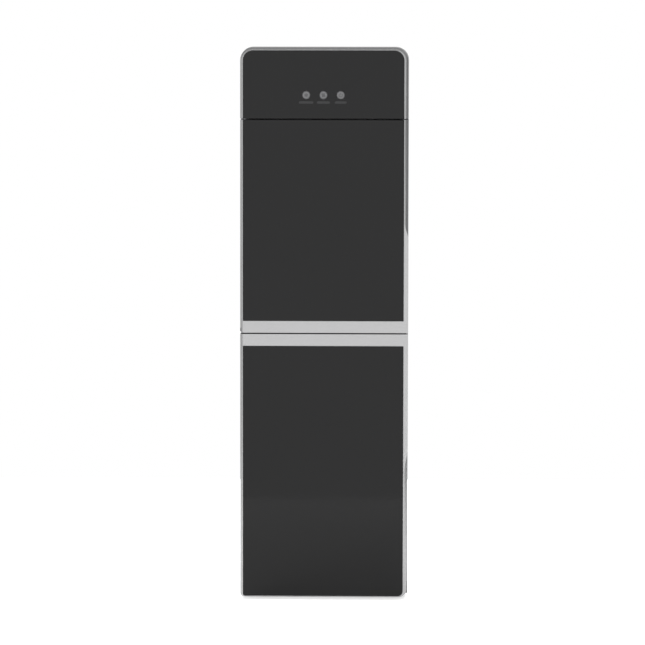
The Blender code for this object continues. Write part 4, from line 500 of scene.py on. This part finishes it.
SEAL_INSET = 1.5 * MM
for door in ("upper", "lower"):
    low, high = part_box(f"{door}_door_liner")
    ring_frame(f"{door}_door_seal", (low[0] + SEAL_INSET, low[2] + SEAL_INSET),
               (high[0] - SEAL_INSET, high[2] - SEAL_INSET),
               8 * MM, high[1] - 0.2 * MM, high[1] + 2.6 * MM, f"{door}_door", RUBBER)

# a dark strip on top of the lower door that paints the shade in the gap between the doors, and a dark block that
# paints the shade in the hinge slit, over the hinge plate
low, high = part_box("lower_door_frame")
upper_low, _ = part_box("upper_door_frame")
pin_low, pin_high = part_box("hinge_middle")
pin_x = (pin_low[0] + pin_high[0]) / 2
pin_y = pin_low[1] + (pin_high[0] - pin_low[0]) / 2
# painted shade: this dark strip stands in for the shade deep in the gap between the doors
shape = bmesh.new()
outline = [(low[0] + 2.4 * MM, low[1] + 1.6 * MM), (high[0] - 4.0 * MM, low[1] + 1.6 * MM),
           (high[0] - 4.0 * MM, high[1] - 1.5 * MM), (low[0] + 2.4 * MM, high[1] - 1.5 * MM)]
bottom = [shape.verts.new((px, py, high[2] - 0.2 * MM)) for px, py in outline]
upper = [shape.verts.new((px, py, high[2] + 0.9 * MM)) for px, py in outline]
shape.faces.new(bottom)
shape.faces.new(upper)
for k in range(4):
    shape.faces.new((bottom[k], bottom[(k + 1) % 4], upper[(k + 1) % 4], upper[k]))
strip = from_bmesh(shape, "door_gap_shade_strip")
hole = turned("strip_hole", in_mm((0.0, -10.0), (4.2, -10.0), (4.2, 10.0), (0.0, 10.0)), (pin_x, pin_y, high[2]))
cut(strip, hole)
softened(piece(strip, "lower_door", RUBBER), 0.25 * MM)
# painted shade: this dark block stands in for the shade in the hinge slit, over the hinge plate
shape = bmesh.new()
add_box(shape, (upper_low[0] + 0.15 * MM, upper_low[1] + 3.0 * MM, upper_low[2] + 2.4 * MM),
        (upper_low[0] + 1.8 * MM, upper_low[1] + 15.0 * MM, upper_low[2] + 8.8 * MM))
softened(piece(from_bmesh(shape, "hinge_slit_shade_block"), "upper_door", RUBBER), 0.3 * MM)


# ---------------------------------------------------------------- bottle collar
low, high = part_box("bottle_collar")
centre = ((low[0] + high[0]) / 2, (low[1] + high[1]) / 2, high[2])
depth = high[2] - low[2]
profile = [(0.0, 20.0), (2.4, 20.4), (4.6, 22.2), (6.4, 25.6), (8.0, 31.5), (8.8, 37.0), (9.0, 42.0),
           (9.0, 65.0), (9.5, 67.2), (11.5, 68.0), (25.6, 68.0),
           (26.6, 67.6), (27.0, 66.6), (27.0, 63.0), (27.6, 61.4),
           (29.0, 59.8), (36.0, 52.0), (90.2, 16.4), (91.6, 15.0), (100.9, 3.4), (102.2, 1.2), (104.2, 0.0),
           (109.6, 0.0), (111.2, 0.5), (112.0, 2.0), (112.0, 4.7), (105.7, 4.7), (95.7, 20.0), (39.0, 57.0),
           (30.6, 64.6), (30.0, 66.4), (30.0, depth / MM - 1.0), (29.2, depth / MM), (27.6, depth / MM),
           (27.0, depth / MM - 1.0), (27.0, 71.0), (4.5, 71.0), (4.5, 36.0), (0.0, 34.0)]
collar = turned("bottle_collar_round", [(r * MM, -h * MM) for r, h in profile], centre, "Z", 128)
ports = []
for size in ((12, 2.4), (2.4, 12)):
    shape = bmesh.new()
    add_box(shape, (centre[0] - size[0] * MM, centre[1] - size[1] * MM, high[2] - 64.5 * MM),
            (centre[0] + size[0] * MM, centre[1] + size[1] * MM, high[2] - 52.0 * MM))
    ports.append(from_bmesh(shape, "port"))
piece(cut(collar, *ports), "bottle_collar", PROBE, ["bottle_collar"])


# ---------------------------------------------------------------- cooling circuit
low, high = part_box("compressor")
radius = (high[0] - low[0]) / 2
cx, cy, base = (low[0] + high[0]) / 2, (low[1] + high[1]) / 2, low[2]
SHELL_HEIGHT = 0.148
DOME_HEIGHT = 0.034
top = base + SHELL_HEIGHT
seam = base + SHELL_HEIGHT * 0.56
profile = [(0.0, top)]
profile += [(radius * 0.97 * math.sin(math.radians(a)),
             top - DOME_HEIGHT + DOME_HEIGHT * math.cos(math.radians(a))) for a in range(6, 91, 6)]
# the welded seam's flange, as (share of the radius, height over the seam), then the rounded foot over the base
profile += [(radius * share, seam + h * MM) for share, h in
            ((0.97, 4.0), (0.982, 2.6), (0.997, 1.6), (1.0, 0.0), (1.0, -2.2), (0.985, -4.0), (0.965, -5.0))]
profile += [(radius * share, base + h * MM) for share, h in
            ((0.965, 20), (0.955, 14), (0.925, 9), (0.88, 5), (0.78, 0), (0.0, 0))]
shell = turned("compressor_shell", [(r, z - base) for r, z in profile], (cx, cy, base), "Z", 96)
piece(shell, "cabinet", ENAMEL, ["compressor"])
PORT_OFFSET = 0.030
profile = in_mm((0, 0), (5.2, 0), (5.2, 22), (4.2, 25), (4.2, 46), (3.4, 46), (3.4, 44), (0, 44))
for side, sign in (("left", -1), ("right", 1)):
    place = (cx + sign * PORT_OFFSET, cy + PORT_OFFSET, top - 40 * MM)
    piece(turned(f"compressor_port_{side}", profile, place, "Z", 32), "cabinet", COPPER)

low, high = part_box("condenser_coil")
y = low[1] + 2.6 * MM
half = (high[0] - low[0]) / 2 - 4 * MM
runs, pitch = 7, 62 * MM
first = high[2] - 12 * MM - pitch * (runs - 1)
DROP_X = -0.122                   # the tube's way down to the discharge line
DROP_BEND = 0.015
TURN_BEND = 0.031                 # half the pitch
path = [(DROP_X, y, low[2]), (DROP_X, y, first - 17 * MM)]
for i in range(7):
    a = math.radians(180 - 15 * i)
    path.append((DROP_X + DROP_BEND + DROP_BEND * math.cos(a), y, first - 15 * MM + DROP_BEND * math.sin(a)))
reach = 0.112 - 0.0155
for i in range(runs):
    z = first + pitch * i
    sign = 1 if i % 2 == 0 else -1
    path += [(-sign * reach + sign * 0.02, y, z), (sign * reach, y, z)]
    if i < runs - 1:
        for a in (math.radians(degrees) for degrees in range(-75, 76, 15)):
            path.append((sign * (reach + TURN_BEND * math.cos(a)), y, z + TURN_BEND + TURN_BEND * math.sin(a)))
        path.append((sign * reach, y, z + pitch))
coil = tube("condenser_tube", path, 2.5 * MM, 14)
piece(coil, "cabinet", ENAMEL, ["condenser_coil"])
shape = bmesh.new()
wire = 0.75 * MM
for offset in (-2.5 * MM, 2.65 * MM):
    for k in range(25):
        x = -0.090 + 0.180 * k / 24
        ring = [[shape.verts.new((x + wire * math.cos(a), y + offset + wire * math.sin(a), z))
                 for a in (math.tau * s / 8 for s in range(8))] for z in (first - 12 * MM, high[2])]
        for s in range(8):
            shape.faces.new((ring[0][s], ring[0][(s + 1) % 8], ring[1][(s + 1) % 8], ring[1][s]))
        shape.faces.new(ring[0])
        shape.faces.new(ring[1])
piece(from_bmesh(shape, "condenser_wires", 50.0), "cabinet", ENAMEL)

for name in ("cold_water_hose", "hot_water_hose", "drain_hose", "discharge_line", "suction_line"):
    weld = NODES[name].modifiers.new("weld", "WELD")
    weld.merge_threshold = 0.00002
    curve = NODES[name].modifiers.new("smooth", "SUBSURF")
    curve.levels = curve.render_levels = 2


# ---------------------------------------------------------------- feet, screws and small rear parts
for end in ("front", "rear"):
    for side in ("left", "right"):
        node = f"foot_{end}_{side}"
        low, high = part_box(node)
        tall = high[2] - low[2]
        r = (high[0] - low[0]) / 2
        profile = in_mm((0.0, 0.6), (5, 0.6), (6, 0.0), (13.8, 0.0), (15, 0.9), (15.3, 2.2), (14.7, 2.8),
                        (15.6, 3.5), (15.9, 5.0), (15.3, 5.6), (16.2, 6.3))
        profile += [(r, tall - 1.0 * MM), (r - 0.6 * MM, tall), (0.0, tall)]
        place = ((low[0] + high[0]) / 2, (low[1] + high[1]) / 2, low[2])
        foot = turned(f"{node}_round", profile, place, "Z", 64)
        piece(foot, "cabinet", RUBBER, [node])

PANEL_Y = 0.150                   # outer face of the back panel
low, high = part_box("back_panel")
places = [(sign * (high[0] - 7 * MM), PANEL_Y, z) for sign in (-1, 1)
          for z in (low[2] + 12 * MM, 0.40, 0.565, 0.73, high[2] - 12 * MM)]
screw_heads("panel_screws", places, (0, 1, 0), 3.4 * MM, "cabinet")
cover_low, cover_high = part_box("top_cover")
places = [(sign * 0.118, cover_high[1] - 0.15 * MM, cover_low[2] + 10 * MM) for sign in (-1, 1)]
screw_heads("cover_screws", places, (0, 1, 0), 3.4 * MM, "cabinet")
base_low, base_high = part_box("base_pan")
places = [(sign * 0.130, base_high[1] - 0.15 * MM, (base_low[2] + base_high[2]) / 2) for sign in (-1, 1)]
screw_heads("base_screws", places, (0, 1, 0), 3.2 * MM, "cabinet")

SPOUT_Y = -0.087
profile = in_mm((6.2, 0.0), (8.3, 0.0), (8.7, 0.5), (8.9, 3.0), (8.9, 4.6), (8.5, 5.0), (7.6, 5.0), (6.2, 4.0))
for name in ("hot", "cold"):
    low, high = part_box(f"{name}_tap")
    place = ((low[0] + high[0]) / 2, SPOUT_Y, low[2] - 0.3 * MM)
    piece(turned(f"{name}_spout_ring", profile, place, "Z", 48), "cabinet", STAINLESS)


# ---------------------------------------------------------------- camera, floor and light
IMAGE_PIXELS = 645.0
FOCAL_PIXELS = 2966.8
CAMERA_PLACE = (0.1015, -5.635, 0.9225)
CAMERA_PITCH, CAMERA_YAW, CAMERA_ROLL = 4.24, -1.0970, 0.102  # degrees; the pitch is downwards
FRONT_LIGHT = 1.00                # levels of the surround, as lit and reflected surfaces see it
TOP_LIGHT = 0.30
SIDE_LIGHT = (0.58, 0.20)         # at the left and the right
REAR_LIGHT = (0.50, 0.22)
FLOOR_GLOW = 0.72                 # lifts the floor to the background's white, for a camera only


def camera():
    """A long lens from slightly right of the object, about level with the lamps."""
    data = bpy.data.cameras.new("camera")
    data.sensor_width = 36.0
    data.lens = data.sensor_width * FOCAL_PIXELS / IMAGE_PIXELS
    data.clip_end = 100.0
    obj = link(bpy.data.objects.new("camera", data))
    pitch, yaw, roll = (math.radians(a) for a in (CAMERA_PITCH, CAMERA_YAW, CAMERA_ROLL))
    forward = Vector((math.sin(yaw) * math.cos(pitch), math.cos(yaw) * math.cos(pitch), -math.sin(pitch)))
    right = Vector((math.cos(yaw), -math.sin(yaw), 0.0))
    up = right.cross(forward)
    right, up = right * math.cos(roll) + up * math.sin(roll), up * math.cos(roll) - right * math.sin(roll)
    rotation = Matrix((right, up, -forward)).transposed()
    obj.matrix_world = Matrix.Translation(CAMERA_PLACE) @ rotation.to_4x4()
    bpy.context.scene.camera = obj


def mix_of(tree, factor, a, b):
    """a to b by a factor; each is a number or a socket."""
    node = tree.nodes.new("ShaderNodeMix")
    tree.links.new(factor, node.inputs[0])
    for socket, value in ((node.inputs[2], a), (node.inputs[3], b)):
        if isinstance(value, float):
            socket.default_value = value
        else:
            tree.links.new(value, socket)
    return node.outputs[0]


def seen_of(tree):
    """1 for a camera's own rays, to which the surround and the floor look white, and 0 for all others."""
    return tree.nodes.new("ShaderNodeLightPath").outputs["Is Camera Ray"]


def studio():
    """A white surround, bright ahead and dimmer above, at the sides and behind, where the rims turn away."""
    world = bpy.data.worlds.new("studio")
    bpy.context.scene.world = world
    world.use_nodes = True
    tree = world.node_tree
    background = tree.nodes["Background"]
    background.inputs["Color"].default_value = (1.0, 1.0, 1.0, 1.0)
    direction = tree.nodes.new("ShaderNodeTexCoord")
    parts = tree.nodes.new("ShaderNodeSeparateXYZ")
    tree.links.new(direction.outputs["Generated"], parts.inputs[0])

    def ease(source, start, end, low, high):
        node = tree.nodes.new("ShaderNodeMapRange")
        node.interpolation_type = "SMOOTHSTEP"
        for key, value in (("From Min", start), ("From Max", end), ("To Min", low), ("To Max", high)):
            node.inputs[key].default_value = value
        tree.links.new(source, node.inputs["Value"])
        return node.outputs["Result"]

    def mix(factor, a, b):
        return mix_of(tree, factor, a, b)

    x, y, z = parts.outputs
    side = ease(x, -0.5, 0.45, SIDE_LIGHT[0], SIDE_LIGHT[1])
    rear = ease(x, -0.8, 0.8, REAR_LIGHT[0], REAR_LIGHT[1])
    level = mix(ease(y, -0.99, -0.86, 0.0, 1.0), FRONT_LIGHT, side)
    level = mix(ease(y, 0.0, 0.7, 0.0, 1.0), level, rear)
    level = mix(ease(z, 0.10, 0.55, 0.0, 1.0), level, TOP_LIGHT)
    tree.links.new(mix(seen_of(tree), level, 1.0), background.inputs["Strength"])
    shape = bmesh.new()
    bmesh.ops.create_grid(shape, x_segments=1, y_segments=1, size=1.6)
    floor = from_bmesh(shape, "floor")
    material = finish_of("pale_floor", (0.93, 0.93, 0.93), 0.85, tint=0.005, tint_scale=0.8,
                         Emission_Color=(1.0, 1.0, 1.0, 1.0))
    tree = material.node_tree
    glow = mix_of(tree, seen_of(tree), 0.0, FLOOR_GLOW)
    tree.links.new(glow, tree.nodes["Principled BSDF"].inputs["Emission Strength"])
    floor.data.materials.append(material)
    softbox("front_softbox", (0.3, -3.6, 3.6), 3.0, 215.0)
    softbox("rear_softbox", (-0.6, 3.6, 3.0), 3.0, 115.0)
    bpy.context.scene.view_settings.view_transform = "Standard"


def softbox(name, place, size, power):
    """A round soft light that looks at the middle of the object and doesn't show in reflections."""
    data = bpy.data.lights.new(name, "AREA")
    data.shape = "DISK"
    data.size = size
    data.energy = power
    lamp = link(bpy.data.objects.new(name, data))
    lamp.location = place
    lamp.rotation_euler = (Vector((0.0, 0.0, 0.3)) - Vector(place)).to_track_quat("-Z", "Y").to_euler()
    lamp.visible_glossy = False


camera()
studio()
